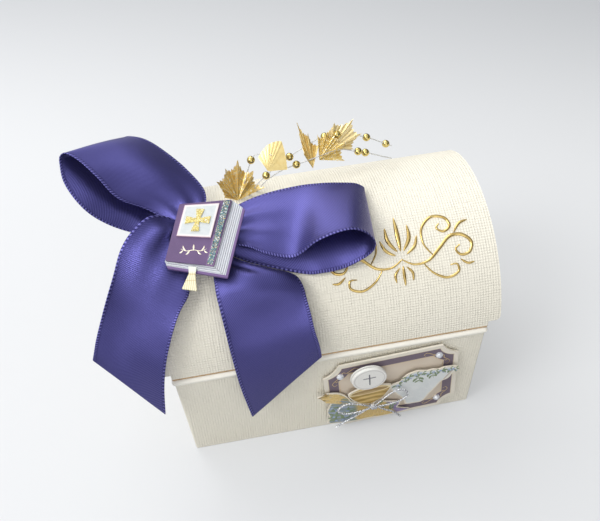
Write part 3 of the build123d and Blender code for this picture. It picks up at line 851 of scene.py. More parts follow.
def sea_flakes(paper, red, green, blue):
    sea = mix(paper, red, (0.05, 0.09, 0.13), (0.30, 0.36, 0.42))
    sea = mix(paper, step(paper, green, 0.55, 0.75), sea, (0.16, 0.34, 0.32))
    sea = mix(paper, step(paper, blue, 0.78, 0.86), sea, (0.66, 0.50, 0.26))
    # Flakes painted nearly white are painted glints.
    return mix(paper, step(paper, green * blue, 0.58, 0.66), sea, (0.90, 0.92, 0.92))


dress("book_cross", glitter_finish("gold_glitter", gold_flakes, 4.2, 0.75, 0.18))
dress("book_glitter_strip", glitter_finish("strip_glitter", sea_flakes, 4.6, 0.6, 0.22))
print("gold glitter on the cross, sea glitter on the strip")

# %% Tassel
THREAD_GAP = 0.55
UPPER_BAND, LOWER_BAND = -11.0, -12.9

tassel_print, paper = new_finish("tassel_print")
u, v = on_book(paper)
threads = wave(u + v * 0.13, THREAD_GAP, patchy(paper, u, v * 0.3) * 2.0)
upper = step(paper, abs(v - UPPER_BAND), 0.12, 0.30)
lower = step(paper, abs(v - LOWER_BAND), 0.10, 0.25)
bands = 1 - upper.math("MINIMUM", lower)
straw = mix(paper, threads * 0.5 + 0.5, (0.70, 0.62, 0.36), (0.88, 0.85, 0.66))
straw = mix(paper, step(paper, v, -11.2, -9.8), straw, (0.80, 0.84, 0.72))
straw = mix(paper, bands * 0.55, straw, (0.60, 0.46, 0.20))
close_finish(paper, {
    "Base Color": straw, "Roughness": 0.5,
    "Normal": raised(paper, threads, 0.05, 0.6),
})
dress("book_marker", tassel_print)
print("tassel threads are", THREAD_GAP, "mm apart")

# %% [markdown]
# ## Strokes of gold
#
# Scrollwork is drawn as strokes. A stroke is a smooth line through a few
# points, with a width that swells and thins as a pen's does. It gets a low
# domed section, so that the foil catches the light along one side. The same
# strokes can be laid on a flat card or wrapped round the barrel; only the
# function that turns (along, up, height) into a place in space differs.

# %% Stroke maker
@contextlib.contextmanager
def editing(piece):
    """Edit mode on one piece, with all of it selected."""
    only(piece)
    bpy.ops.object.mode_set(mode="EDIT")
    bpy.ops.mesh.select_all(action="SELECT")
    yield
    bpy.ops.object.mode_set(mode="OBJECT")


def round_off(piece, degrees):
    """Turns the faces outwards, and smooths the edges that bend less than this."""
    with editing(piece):
        bpy.ops.mesh.normals_make_consistent(inside=False)
    bpy.ops.object.shade_smooth_by_angle(angle=math.radians(degrees))


DOME = ((-0.5, 0.0), (-0.36, 0.7), (0.0, 1.0), (0.36, 0.7), (0.5, 0.0))


def strokes(name, lines, place, height, material, steps):
    """lines: (points, thin width, full width). place turns (u, v, h) in mm into a point in mm."""
    section = len(DOME)
    points, faces = [], []
    for line, thin, full in lines:
        route = through(line, steps)
        count, start = len(route), len(points)
        for i, (u, v) in enumerate(route):
            after, before = route[min(i + 1, count - 1)], route[max(i - 1, 0)]
            run = Vector((after[0] - before[0], after[1] - before[1])).normalized()
            share = i / (count - 1)
            width = thin + (full - thin) * math.sin(math.pi * share) ** 0.8
            rise = height * (0.55 + 0.45 * width / full)
            for offset, lift in DOME:
                aside = offset * width
                points.append(place(u - run.y * aside, v + run.x * aside, lift * rise))
        for i in range(count - 1):
            a = start + i * section
            for j in range(section):
                k = (j + 1) % section
                faces.append((a + j, a + k, a + section + k, a + section + j))
        faces.append(tuple(range(start, start + section))[::-1])
        faces.append(tuple(range(start + (count - 1) * section, start + count * section)))
    piece = mesh_piece(name, points, faces, [material])
    round_off(piece, 50)
    print(f"{name}: {len(lines)} strokes, {len(faces)} faces")
    return piece


def on_card(at, side, up, out, height):
    """A place on a flat card: along, up and above it, in millimetres."""
    def place(u, v, h):
        return at / MM + side * u + up * v + out * (height + h)
    return place


print("strokes have", len(DOME), "points to a section")

# %% [markdown]
# The lid carries an ornament of mirror-gold foil: a small palmette in the
# middle, and to each side of it the same wave with its curls. One half is
# drawn flat, used twice, and wrapped round the barrel.

# %% Gold mirror foil
mirror_gold, paper = new_finish("mirror_gold")
ripple = speckle(paper, 0.26, 2.0)
close_finish(paper, {
    "Base Color": mix(paper, ripple, (0.42, 0.26, 0.06), (0.98, 0.76, 0.32)),
    "Metallic": 1.0,
    "Roughness": 0.10 + ripple * 0.12,
    "Normal": raised(paper, ripple, 0.10, 0.35),
})
print("mirror gold ready")

# %% Scrollwork on the lid
SCROLL_DOWN, SCROLL_MIDDLE = 23.0, 24.4
SWELL = 1.12
FOIL_H = 0.34


def on_barrel(u, v, h):
    """A place on the lid: v millimetres up round the barrel from a line on its front."""
    angle = math.radians(90) + (SCROLL_DOWN - v) / BARREL_R
    reach = BARREL_R + 0.02 + h
    return Vector((u, reach * math.cos(angle), BARREL_Z + reach * math.sin(angle)))


HALF = [
    ([(0.0, -3.0), (3.5, -5.0), (8.0, -4.6), (12.0, -1.4), (15.8, 1.8), (19.6, 1.8), (22.2, -0.8),
      (21.2, -3.8), (18.4, -4.3), (17.0, -2.4), (18.5, -1.2)], 0.32, 0.98),
    ([(9.8, -3.2), (7.4, 0.8), (7.8, 5.6), (11.4, 8.8), (15.4, 8.0), (16.6, 5.2), (14.4, 3.6), (12.4, 4.9),
      (13.4, 6.3)], 0.28, 0.88),
    ([(6.2, -4.8), (9.0, -8.4), (13.2, -10.6), (16.8, -9.4), (16.8, -7.0), (14.6, -6.9)], 0.24, 0.74),
    ([(1.0, -0.4), (3.3, 3.2), (3.5, 7.4)], 0.18, 1.15),
    ([(1.7, -1.6), (4.5, 0.4), (5.8, 3.6)], 0.15, 0.90),
    ([(1.1, -5.4), (2.7, -7.4), (2.6, -9.8)], 0.15, 0.75),
    ([(17.4, 2.8), (19.6, 5.4), (22.4, 6.2)], 0.15, 0.85),
    ([(18.0, -5.6), (20.2, -7.2), (22.2, -7.0)], 0.15, 0.70),
]
SCROLL = []
for line, thin, full in HALF:
    for side in (-1, 1):
        SCROLL.append(([(SCROLL_MIDDLE + side * u, v) for u, v in line], thin, full * SWELL))
for line, full in (((-0.4, 4.4, 10.4), 1.45), ((-5.0, -7.6, -11.0), 1.0)):
    SCROLL.append(([(SCROLL_MIDDLE, v) for v in line], 0.2, full))
scroll = strokes("gold_scrollwork", SCROLL, on_barrel, FOIL_H, mirror_gold, 7)
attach(scroll, "lid")

# %% Small spray on the cover
SPRAY_U, COVER_TOP = -2.7, 1.6
SPRAY = [([(-6.4, -3.3), (-4.6, -3.9), (SPRAY_U, -3.6), (-0.8, -3.9), (1.0, -3.3)], 0.10, 0.24),
         ([(SPRAY_U, -3.6), (SPRAY_U, -2.8), (SPRAY_U, -1.9)], 0.08, 0.50)]
TWIGS = ([(2.2, -3.8), (2.9, -3.0), (3.0, -2.3)], [(1.1, -3.8), (1.6, -4.6), (2.2, -5.0)],
         [(3.0, -3.7), (3.5, -4.3), (4.0, -4.5)])
for side in (-1, 1):
    for line in TWIGS:
        SPRAY.append(([(SPRAY_U + side * u, v) for u, v in line], 0.06, 0.42))
cover_curl, paper = new_finish("pale_gold_print")
haze = speckle(paper, 0.9)
close_finish(paper, {
    "Base Color": mix(paper, haze, (0.80, 0.70, 0.46), (0.95, 0.91, 0.80)),
    "Metallic": 0.35, "Roughness": 0.32,
})
on_cover = on_card(BOOK_AT, book_side, book_up, book_out, COVER_TOP)
spray = strokes("book_spray", SPRAY, on_cover, 0.06, cover_curl, 5)
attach(spray, "lid")

# %% [markdown]
# ## The garland
#
# Gold foil leaves and metallised beads sit on thin clear strands behind the
# bow. A foil leaf has pointed lobes with a toothed rim; the foil is pleated
# along its veins and curls. Each leaf starts as a flat grid. One of its sides
# is gathered to a point, the foot of the leaf. The other side becomes the rim:
# it runs from the tip of one lobe to the tip of the next and dips in between.

# %% Gold foil finishes
def foil_finish(name, dark, bright, sparkle, veined=1.0):
    """Crinkled foil; sparkle is its share of glitter and painted glints, veined how deep its veins are and
    how much painted shade lies in them.
    """
    material, paper = new_finish(name)
    crinkle = speckle(paper, 0.9, 4.0, 0.6)
    spread = split(paper, paper.node("ShaderNodeUVMap", {"uv_map": "leaf"}, {}))[0]
    veins = (spread * 130.0 + crinkle * 3.0).math("SINE") * (0.5 * veined) + (1 - 0.5 * veined)
    tone = mix(paper, crinkle, dark, bright)
    # The darker tone along the veins is painted shade in their creases.
    tone = mix(paper, (1 - veins) * 0.28, tone, (0.62, 0.40, 0.10))
    red, green, _ = flakes(paper, 3.6)
    glints = step(paper, green, 0.80, 0.86) * sparkle
    tone = mix(paper, glints, tone, (1.0, 0.93, 0.70))
    close_finish(paper, {
        "Base Color": tone,
        "Metallic": 0.60,
        "Roughness": 0.30 - glints * 0.12 + crinkle * 0.12,
        "Normal": raised(paper, veins * 0.6 + crinkle + red * sparkle * 1.2, 0.14, 0.7),
    })
    return material


bright_foil = foil_finish("gold_foil", (0.80, 0.57, 0.17), (0.97, 0.80, 0.38), 0.15)
sparkling_foil = foil_finish("gold_foil_glitter", (0.72, 0.48, 0.11), (0.95, 0.75, 0.28), 0.9)
smooth_foil = foil_finish("gold_foil_smooth", (0.80, 0.58, 0.19), (0.97, 0.82, 0.42), 0.0, 0.15)
glitter_foil = foil_finish("gold_foil_dusted", (0.56, 0.36, 0.07), (0.90, 0.68, 0.24), 1.0)
pale_foil = foil_finish("gold_foil_pale", (0.84, 0.66, 0.28), (0.98, 0.86, 0.54), 0.05)
print("five gold foils")

# %% Beads and strands
bead_gold, paper = new_finish("bead_gold")
haze = speckle(paper, 0.5, 2.0)
close_finish(paper, {
    "Base Color": mix(paper, haze, (0.56, 0.43, 0.12), (0.83, 0.68, 0.28)),
    "Metallic": 1.0, "Roughness": 0.10 + haze * 0.10,
})
dress("garland_beads", bead_gold)

clear_strand, paper = new_finish("clear_strand")
haze = speckle(paper, 0.7, 2.0)
close_finish(paper, {
    "Base Color": mix(paper, haze, (0.78, 0.78, 0.76), (0.92, 0.92, 0.90)),
    "Roughness": 0.15 + haze * 0.1, "Transmission Weight": 0.55, "IOR": 1.4,
})
for node in ("garland_wire_a", "garland_wire_b", "garland_wire_c"):
    dress(node, clear_strand)
print("beads and strands have their finishes")

# %% Leaf maker
TO_FRONT = (0.1, -0.8, 0.6)
TOOTH_DEPTH = 0.08
FOIL_T = 0.12


def tooth(x):
    """A saw wave from 0 to 1."""
    return abs((x % 1.0) * 2 - 1)


def foil_leaf(name, foot, tips, notch, pleat, curl, material, teeth, seed):
    """A leaf that fans out from its foot to its lobes' tips, all in millimetres."""
    foot, tips = Vector(foot), [Vector(t) for t in tips]
    facing = Vector(TO_FRONT).normalized()
    length = max((t - foot).length for t in tips)
    dice = random.Random(seed)
    sway = [dice.uniform(-1, 1) for _ in range(len(tips) + 1)]
    leaf = primitive(name, bpy.ops.mesh.primitive_grid_add, x_subdivisions=88, y_subdivisions=14, size=1.0)
    leaf.data.uv_layers[0].name = "leaf"
    for vertex in leaf.data.vertices:
        fan, out = (vertex.co.x + 0.5) * (len(tips) - 1), vertex.co.y + 0.5
        number = min(int(fan), len(tips) - 2)
        share = fan - number
        reach = (tips[number] * (1 - share) + tips[number + 1] * share) - foot
        dip = math.sin(math.pi * share)
        size = 1 - notch * dip ** 0.7
        if teeth:
            size += TOOTH_DEPTH * (tooth(fan * teeth) - 0.5) * out
        ridge = pleat * length * out ** 1.2 * (0.5 - dip)
        fine = (0.016 if teeth else 0.004) * length * out * math.sin(fan * 19 + 3 * sway[number])
        bend = curl * length * out ** 2 * (0.5 + 0.5 * math.cos(math.pi * fan / (len(tips) - 1)))
        bend += 0.05 * length * sway[number] * out ** 2 * dip
        vertex.co = (foot + reach * size * out + facing * (ridge + fine + bend)) * MM
    with editing(leaf):
        bpy.ops.mesh.remove_doubles(threshold=0.004 * MM)
    apply_modifier(leaf, "foil", "SOLIDIFY", thickness=FOIL_T * MM, offset=0.0)
    leaf.data.materials.append(material)
    bpy.ops.object.shade_smooth_by_angle(angle=math.radians(40))
    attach(leaf, "lid")
    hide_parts(name.replace("foil_", ""))
    print(f"{name}: {length:.1f} mm long, {len(leaf.data.polygons)} faces")


print("foil is", FOIL_T, "mm thick")

# %% Leaves
LEAVES = (
    ("foil_leaf_1", (-21.6, 3.2, 76.3),
     [(-25.8, 4.4, 77.4), (-27.6, 7.3, 81.8), (-24.2, 9.6, 84.4), (-20.0, 10.9, 86.0), (-15.6, 8.8, 82.6),
      (-13.0, 5.6, 78.0)],
     0.16, 0.20, 0.14, glitter_foil, 4.0, 3),
    ("foil_leaf_2", (-11.4, 2.4, 86.8),
     [(-13.5, 4.8, 90.5), (-9.9, 7.1, 93.1), (-5.9, 7.6, 93.2), (-5.5, 2.4, 86.3)],
     -0.05, 0.02, -0.16, smooth_foil, 0, 5),
    ("foil_leaf_3", (2.9, 4.7, 83.4),
     [(0.4, 7.0, 87.4), (-0.4, 12.9, 95.2), (2.6, 11.0, 92.0), (5.6, 9.0, 88.8)],
     0.14, 0.10, 0.06, bright_foil, 4.0, 8),
    ("foil_leaf_4", (5.2, 5.8, 85.4),
     [(5.4, 10.1, 91.6), (8.2, 10.2, 91.4), (10.6, 9.8, 90.6), (14.2, 8.7, 88.4), (12.9, 5.4, 84.0)],
     0.14, 0.09, 0.05, sparkling_foil, 4.0, 12),
    ("foil_leaf_5", (9.4, 8.3, 86.6),
     [(8.2, 11.6, 91.0), (11.2, 12.9, 93.0), (17.2, 13.7, 92.8), (19.3, 11.1, 88.9), (16.3, 8.4, 85.6)],
     0.12, 0.10, 0.05, pale_foil, 4.0, 17),
)
for leaf in LEAVES:
    foil_leaf(*leaf)

# %% [markdown]
# ## The rolled rim and the liner's edge
#
# The cream paper is turned over the tray's top edge in a soft roll, which
# catches the light as a pale line under the lid. Above it the lid's own edge
# shows its brown core, because the cover stops short of the liner. The roll
# is one section carried round the four sides, and the edge is a thin strip.

# %% Rolled rim
ROLL_LINE = ((0.0, 39.5), (0.30, 40.0), (0.62, 40.6), (0.66, 41.1), (0.38, 41.6), (-0.40, 42.05),
             (-1.20, 42.05), (-1.30, 41.9))
CORNER_POINTS, CORNER_R = 6, 1.2


def rolled_corner(k, i, proud):
    """Point i of corner k, on a line that stands this far proud of the walls."""
    side_x, side_y = ((1, -1), (1, 1), (-1, 1), (-1, -1))[k]
    turn = math.radians(90 * (k - 1) + 90 * i / (CORNER_POINTS - 1))
    radius = CORNER_R + min(proud, 0.0) * 0.5
    x = side_x * (TRAY_L / 2 + proud - radius) + radius * math.cos(turn)
    y = side_y * (TRAY_W / 2 + proud - radius) + radius * math.sin(turn)
    return x, min(y, TRAY_W / 2 + min(proud, 0.0))


rim_points, rim_faces = [], []
for proud, z in ROLL_LINE:
    for k in range(4):
        rim_points += [(*rolled_corner(k, i, proud), z) for i in range(CORNER_POINTS)]
around = 4 * CORNER_POINTS
for i in range(len(ROLL_LINE) - 1):
    for j in range(around):
        k, low, high = (j + 1) % around, i * around, (i + 1) * around
        rim_faces.append((low + j, low + k, high + k, high + j))

# The roll's paper is painted paler than the linen card: a painted highlight along the rim, on top of the
# light that the roll catches.
roll_paper, paper = new_finish("roll_paper")
pulp = speckle(paper, 1.4, 3.0)
close_finish(paper, {
    "Base Color": mix(paper, pulp, (0.88, 0.85, 0.74), (0.95, 0.92, 0.83)),
    "Roughness": 0.5,
    "Normal": raised(paper, pulp, 0.04, 0.5),
})
rim = mesh_piece("rolled_rim", rim_points, rim_faces, [roll_paper])
smooth(rim)
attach(rim, "tray")
print("rolled rim:", len(rim_faces), "faces")

# %% Brown edge of the lid
EDGE_SIZE = Vector((100.4, 0.65, 0.6))
EDGE_AT = Vector((0, -36.03, 42.6))

edge_strip = primitive("lid_edge_kraft", bpy.ops.mesh.primitive_cube_add, size=1.0)
for vertex in edge_strip.data.vertices:
    vertex.co = (EDGE_AT + vertex.co * EDGE_SIZE) * MM
apply_modifier(edge_strip, "soft_edge", "BEVEL", width=0.12 * MM, segments=2)
edge_strip.data.materials.append(kraft)
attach(edge_strip, "lid")
print("brown edge strip:", len(edge_strip.data.polygons), "faces")

# %% [markdown]
# ## The label on the front
#
# The label is built up on foam pads: a base card with hollow corners and a
# grey-violet frame, a card with ears of wheat and leaves, a pale page, a gold
# cup and a white disc. The frame follows the card's outline, so it is drawn
# from the distance to that outline: the nearest of the two straight edges and
# the arc round the missing corner.

# %% The label's plane
LABEL_X, LABEL_Z = 19.5, 20.0
LABEL_W, LABEL_H = 45.0, 36.2
LABEL_TURN = math.radians(3.2)
LABEL_AT = Vector((LABEL_X, -(TRAY_W / 2 - LEAN * (1 - LABEL_Z / TRAY_H)), LABEL_Z)) * MM
label_out = Vector((0, -1, -LEAN / TRAY_H)).normalized()
label_side, label_up = square_to(label_out, Vector((math.cos(LABEL_TURN), 0, math.sin(LABEL_TURN))))
BASE_TOP = 1.6


def label_card_at(height):
    """Turns (along, up, height) on the label into a place, this high over its base card."""
    return on_card(LABEL_AT, label_side, label_up, label_out, BASE_TOP + height)


def on_label(paper):
    """Millimetres along and up the label."""
    return on_plane(paper, LABEL_AT, label_side, label_up)


print("label is turned by", round(math.degrees(LABEL_TURN), 1), "degrees")

# %% Base card's print
FRAME_FROM, FRAME_TO, CUT_R = 1.55, 4.90, 4.9

base_print, paper = new_finish("base_print")
u, v = on_label(paper)
from_side, from_top = LABEL_W / 2 - abs(u), LABEL_H / 2 - abs(v)
from_corner = (from_side * from_side + from_top * from_top).math("SQRT") - CUT_R
inside = from_side.math("MINIMUM", from_top).math("MINIMUM", from_corner)
pulp = patchy(paper, u * 2.0, v * 2.0, 3.0)
soft = patchy(paper, u * 0.13, v * 0.13, 2.0)
ivory = mix(paper, soft, (0.70, 0.61, 0.49), (0.82, 0.75, 0.63))
aged = mix(paper, 0.35, ivory, (0.50, 0.36, 0.26))
ivory = mix(paper, step(paper, inside, FRAME_TO, 9.0) * 0.4, aged, ivory)
past_frame = step(paper, inside, FRAME_TO - 0.15, FRAME_TO)
band = step(paper, inside, FRAME_FROM, FRAME_FROM + 0.15) * (1 - past_frame)
slate = mix(paper, pulp, (0.140, 0.105, 0.138), (0.200, 0.158, 0.195))
margin = mix(paper, pulp, (0.76, 0.70, 0.58), (0.84, 0.79, 0.69))
tone = mix(paper, step(paper, inside, 1.5, 1.7), margin, ivory)
tone = mix(paper, band, tone, slate)
specks = step(paper, patchy(paper, u * 5.0, v * 5.0, 1.0), 0.60, 0.66)
line_out = 1 - step(paper, abs(inside - 1.50), 0.06, 0.16)
line_in = 1 - step(paper, abs(inside - 5.15), 0.05, 0.13)
gilt = (line_out * (0.35 + specks * 0.65)).math("MAXIMUM", line_in * 0.7)
tone = mix(paper, gilt, tone, (0.72, 0.53, 0.24))
close_finish(paper, {
    "Base Color": tone,
    "Metallic": gilt * 0.7,
    "Roughness": 0.55 - gilt * 0.25,
    "Normal": raised(paper, pulp * 0.3 + gilt, 0.03, 0.5),
})
dress("label_card", base_print)
print("label frame drawn from", LABEL_W, "x", LABEL_H, "mm")

# %% Corner curls
label_gold, paper = new_finish("label_gold")
speck = speckle(paper, 3, 2.0)
close_finish(paper, {
    "Base Color": mix(paper, speck, (0.58, 0.38, 0.14), (0.92, 0.74, 0.42)),
    "Metallic": 0.8, "Roughness": 0.25 + speck * 0.2,
})
CURL = [
    ([(10.9, 4.4), (11.6, 3.4), (10.6, 2.7), (9.4, 3.4), (7.8, 4.6), (6.7, 4.0), (5.9, 5.4), (4.9, 5.6),
      (4.8, 7.0), (3.5, 8.4), (2.8, 9.6), (3.4, 10.9), (4.4, 10.4)], 0.10, 0.27),
    ([(7.8, 4.5), (8.6, 5.2), (9.5, 4.8)], 0.08, 0.24),
    ([(3.6, 8.2), (4.3, 8.9), (4.6, 8.1)], 0.08, 0.22),
]
corner_curls = []
for side_u, side_v in ((-1, -1), (-1, 1), (1, -1), (1, 1)):
    for line, thin, full in CURL:
        turned = [(side_u * (LABEL_W / 2 - a), side_v * (LABEL_H / 2 - b)) for a, b in line]
        corner_curls.append((turned, thin, full))
curls = strokes("label_corner_curls", corner_curls, label_card_at(0), 0.06, label_gold, 3)
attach(curls, "tray")

# %% [markdown]
# The page and the leaf card are die-cut with wavy edges, and an unprinted
# cream margin runs round each print. Each starts as a filled circle whose rim
# points are moved to the outline. The face is inset by the margin, the inner
# face takes the print, and the whole is extruded to the card's thickness.

# %% Die-cut maker
EDGE_STEPS = 5
CARD_T = 0.4
LEAFY_BASE, PAGE_BASE, CUP_BASE = 0.8, 1.2, 1.6


def closed_line(points, steps):
    """A smooth closed line through the points."""
    wrapped = [points[-1]] + list(points) + [points[0], points[1]]
    return through(wrapped, steps)[steps:-steps - 1][:len(points) * steps]


def die_cut(name, node, outline, base, thick, margin, print_paper):
    """A card with a smooth outline, an unprinted margin and a print inside it."""
    rim = closed_line(outline, EDGE_STEPS)
    card = primitive(name, bpy.ops.mesh.primitive_circle_add,
                     vertices=len(rim), radius=10 * MM, fill_type="NGON")
    for vertex, (u, v) in zip(card.data.vertices, rim):
        vertex.co = Vector((u, v, thick)) * MM
    card.data.materials.append(margin_paper)
    card.data.materials.append(print_paper)
    with editing(card):
        bpy.ops.mesh.normals_make_consistent(inside=False)
        bpy.ops.mesh.inset(thickness=margin * MM, depth=0.0)
        card.active_material_index = 1
        bpy.ops.object.material_slot_assign()
    downwards = -1.0 if card.data.polygons[0].normal.z > 0 else 1.0
    apply_modifier(card, "card", "SOLIDIFY", thickness=thick * MM, offset=downwards)
    place = label_card_at(base)
    for vertex in card.data.vertices:
        vertex.co = place(*(vertex.co / MM)) * MM
    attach(card, "tray")
    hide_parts(node)
    print(f"{name}: {len(rim)} points round the edge")


margin_paper, paper = new_finish("cream_margin")
pulp = speckle(paper, 2.5, 3.0)
close_finish(paper, {
    "Base Color": mix(paper, pulp, (0.74, 0.67, 0.54), (0.84, 0.79, 0.68)),
    "Roughness": 0.6,
    "Normal": raised(paper, pulp, 0.03, 0.4),
})
print("margins are bare cream card")

# %% Page
page_print, paper = new_finish("page_print")
u, v = on_label(paper)
wash = patchy(paper, u * 0.2, v * 0.2, 3.0)
veil = patchy(paper, u * 0.9 + v * 0.6, v * 0.4, 3.0)
tone = mix(paper, wash, (0.60, 0.64, 0.64), (0.80, 0.81, 0.79))
tone = mix(paper, step(paper, veil, 0.50, 0.75) * 0.35, tone, (0.86, 0.85, 0.82))
fold = abs(u - v * 0.62 - 17.2)
tone = mix(paper, (1 - step(paper, fold, 0.15, 0.45)) * 0.8, tone, (0.52, 0.38, 0.26))
close_finish(paper, {
    "Base Color": tone, "Roughness": 0.42,
    "Normal": raised(paper, veil, 0.03, 0.4),
})
PAGE = [
    (-0.6, 0.6), (-0.8, 3.0), (1.0, 3.9), (2.6, 4.4), (3.6, 6.2), (5.4, 7.9), (8.4, 8.7), (10.4, 8.2),
    (11.8, 7.7), (13.6, 7.9), (15.6, 7.2), (17.6, 7.7), (19.8, 7.4), (21.4, 7.0), (22.3, 6.0),
    (21.6, 4.4), (20.4, 3.2), (19.6, 1.4), (18.6, 0.3), (16.8, -0.4), (15.0, -3.4), (12.6, -7.0),
    (10.4, -10.6), (7.4, -10.8), (4.6, -10.4), (4.0, -8.6), (3.4, -6.4), (1.4, -3.0),
]
die_cut("page_layer", "page_card", PAGE, PAGE_BASE, CARD_T, 0.55, page_print)

# %% Leaf card
leafy_print, paper = new_finish("leafy_print")
u, v = on_label(paper)
blots = patchy(paper, u * 0.45, v * 0.45, 3.0, 0.6)
streaks = patchy(paper, u * 0.35 + v * 1.1, v * 0.5, 3.0, w=4.0)
green = mix(paper, blots, (0.10, 0.15, 0.10), (0.42, 0.46, 0.34))
straw = mix(paper, streaks, (0.50, 0.34, 0.10), (0.82, 0.62, 0.26))
lilac = mix(paper, blots, (0.20, 0.14, 0.30), (0.46, 0.38, 0.56))
sky_blue = mix(paper, streaks, (0.12, 0.18, 0.30), (0.46, 0.52, 0.60))
tone = mix(paper, step(paper, streaks, 0.44, 0.58), green, sky_blue)
sheaf = step(paper, u, -13.5, -11.5) * (1 - step(paper, u + v * 0.4, -6.0, -3.8))
tone = mix(paper, sheaf * step(paper, blots, 0.25, 0.45), tone, straw)
cloth_corner = step(paper, u + v * 0.4, -5.4, -4.2)
tone = mix(paper, cloth_corner * step(paper, streaks, 0.28, 0.40), tone, lilac)
upper_left = step(paper, v - u * 0.25, 4.2, 5.6)
tone = mix(paper, upper_left * step(paper, blots, 0.35, 0.50), tone, straw)
close_finish(paper, {
    "Base Color": tone, "Roughness": 0.5,
    "Normal": raised(paper, blots, 0.04, 0.4),
})
SPRIG = [
    (-16.5, 2.9), (-18.6, 4.6), (-22.0, 5.4), (-21.4, 4.3), (-23.4, 4.4), (-25.4, 4.0), (-22.6, 2.6),
    (-23.6, 1.2), (-22.6, 0.1), (-21.2, -0.6), (-22.0, -3.0), (-22.8, -6.0), (-22.2, -9.6),
    (-22.7, -13.4), (-18.4, -14.4), (-13.3, -15.3), (-8.8, -15.2), (-4.0, -15.7), (1.0, -15.6),
    (6.2, -14.8), (3.8, -13.4), (1.7, -11.8), (2.6, -10.0), (2.4, -8.4), (-0.2, -7.4), (-3.0, -6.2),
    (-6.0, -5.6), (-9.0, -4.4), (-11.4, -3.4), (-14.0, -2.2), (-15.0, 0.4),
]
die_cut("leafy_layer", "sprig_card", SPRIG, LEAFY_BASE, CARD_T, 0.45, leafy_print)

# %% [markdown]
# Grains, leaves and flowers stand a little proud of the prints. A leaf or a
# grain is one short stroke that swells in the middle. A flower is a low cone
# whose rim is drawn in between its five petals.

# %% Blossoms and small leaves
def plain_paint(name, dark, bright):
    """A matt paint with faint mottling."""
    material, paper = new_finish(name)
    mottle = speckle(paper, 2.2, 3.0)
    close_finish(paper, {
        "Base Color": mix(paper, mottle, dark, bright), "Roughness": 0.48,
        "Normal": raised(paper, mottle, 0.03, 0.4),
    })
    return material


leaf_green = plain_paint("leaf_green", (0.10, 0.17, 0.09), (0.32, 0.38, 0.22))
petal_blue = plain_paint("petal_blue", (0.16, 0.25, 0.46), (0.46, 0.56, 0.74))
grain_straw = plain_paint("grain_straw", (0.50, 0.34, 0.11), (0.86, 0.68, 0.34))
flower_eye = plain_paint("flower_eye", (0.60, 0.44, 0.16), (0.80, 0.66, 0.34))


def away_from(u, v, angle, length):
    """The point at this angle and length from (u, v)."""
    return u + length * math.cos(angle), v + length * math.sin(angle)


def blossoms(name, spots, place, material, eye=False):
    """Flowers at (u, v, radius, turn), or the eyes in their middles."""
    points, faces = [], []
    around = 15
    for u, v, radius, turn in spots:
        start = len(points)
        size = radius * (0.3 if eye else 1.0)
        for k in range(around):
            angle = 2 * math.pi * k / around
            reach = size * (1.0 if eye else 0.74 + 0.26 * math.cos(5 * angle))
            points.append(place(*away_from(u, v, angle + turn, reach), 0.02))
            faces.append((start + k, start + (k + 1) % around, start + around))
        points.append(place(u, v, 0.26 if eye else 0.16))
        faces.append(tuple(range(start, start + around))[::-1])
    return mesh_piece(name, points, faces, [material])


def leaf_pair(u, v, angle, size):
    """Two small leaves that leave a stem at a point."""
    pair = []
    for side in (-1, 1):
        a = angle + side * 0.75
        line = [(u, v), away_from(u, v, a + side * 0.22, size * 0.55), away_from(u, v, a, size)]
        pair.append((line, 0.06, size * 0.40))
    return pair


print("four paints, flowers and leaves ready")

# %% Leaves and flowers
dice = random.Random(7)
PAGE_EDGE = [(1.6, 2.9), (3.4, 4.9), (5.2, 6.4), (7.4, 7.1), (9.6, 6.9), (11.8, 6.3), (14.0, 6.2),
             (16.4, 6.2), (18.8, 6.3), (20.8, 5.6)]
page_leaves, page_flowers = [], []
for i, (u, v) in enumerate(PAGE_EDGE):
    page_leaves += leaf_pair(u, v - 0.3, -1.9 + 0.5 * math.sin(i * 2.1), 1.9 + 0.5 * dice.random())
    page_leaves += leaf_pair(u + 0.8, v + 0.1, 0.2 + dice.uniform(-0.5, 0.5), 1.3)
    aside, up = dice.uniform(-0.3, 0.3), dice.uniform(-0.7, 0.2)
    page_flowers.append((u + aside, v + up, dice.uniform(0.62, 0.85), i))
    page_flowers.append((u + 0.9, v - 1.2, dice.uniform(0.42, 0.60), i * 0.7))
for u, v, angle, size in ((8.6, 4.6, -1.5, 2.6), (9.2, 3.0, -1.8, 2.0), (13.4, 4.4, -1.3, 2.0)):
    page_leaves += leaf_pair(u, v, angle, size)
page_leaves += [([(8.4, 6.4), (8.9, 4.6), (9.4, 1.8)], 0.1, 0.18),
                ([(13.8, 6.0), (13.6, 4.4), (13.9, 2.9)], 0.1, 0.16)]

SPRIG_LEAVES = [(-20.6, -4.2, 2.2), (-19.4, -6.6, 2.5), (-20.8, -9.0, 2.3), (-18.2, -9.4, 2.7),
                (-20.2, -11.6, 2.4), (-17.0, -12.0, 2.2), (-15.2, -7.6, 2.4), (-15.8, -10.2, 2.0),
                (-2.6, -8.2, 2.3), (-0.6, -9.6, 2.2), (-4.6, -7.4, 2.0), (0.2, -11.6, 1.8)]
FLOWERING = 8
card_leaves, card_flowers = [], []
for i, (u, v, size) in enumerate(SPRIG_LEAVES):
    card_leaves += leaf_pair(u, v, dice.uniform(0, 6.28), size)
    if i < FLOWERING:
        aside, up = dice.uniform(-0.9, 0.9), dice.uniform(-0.8, 0.8)
        card_flowers.append((u + aside, v + up, dice.uniform(0.6, 0.9), i))
print("leaf pairs with", len(page_flowers) + len(card_flowers), "flowers")

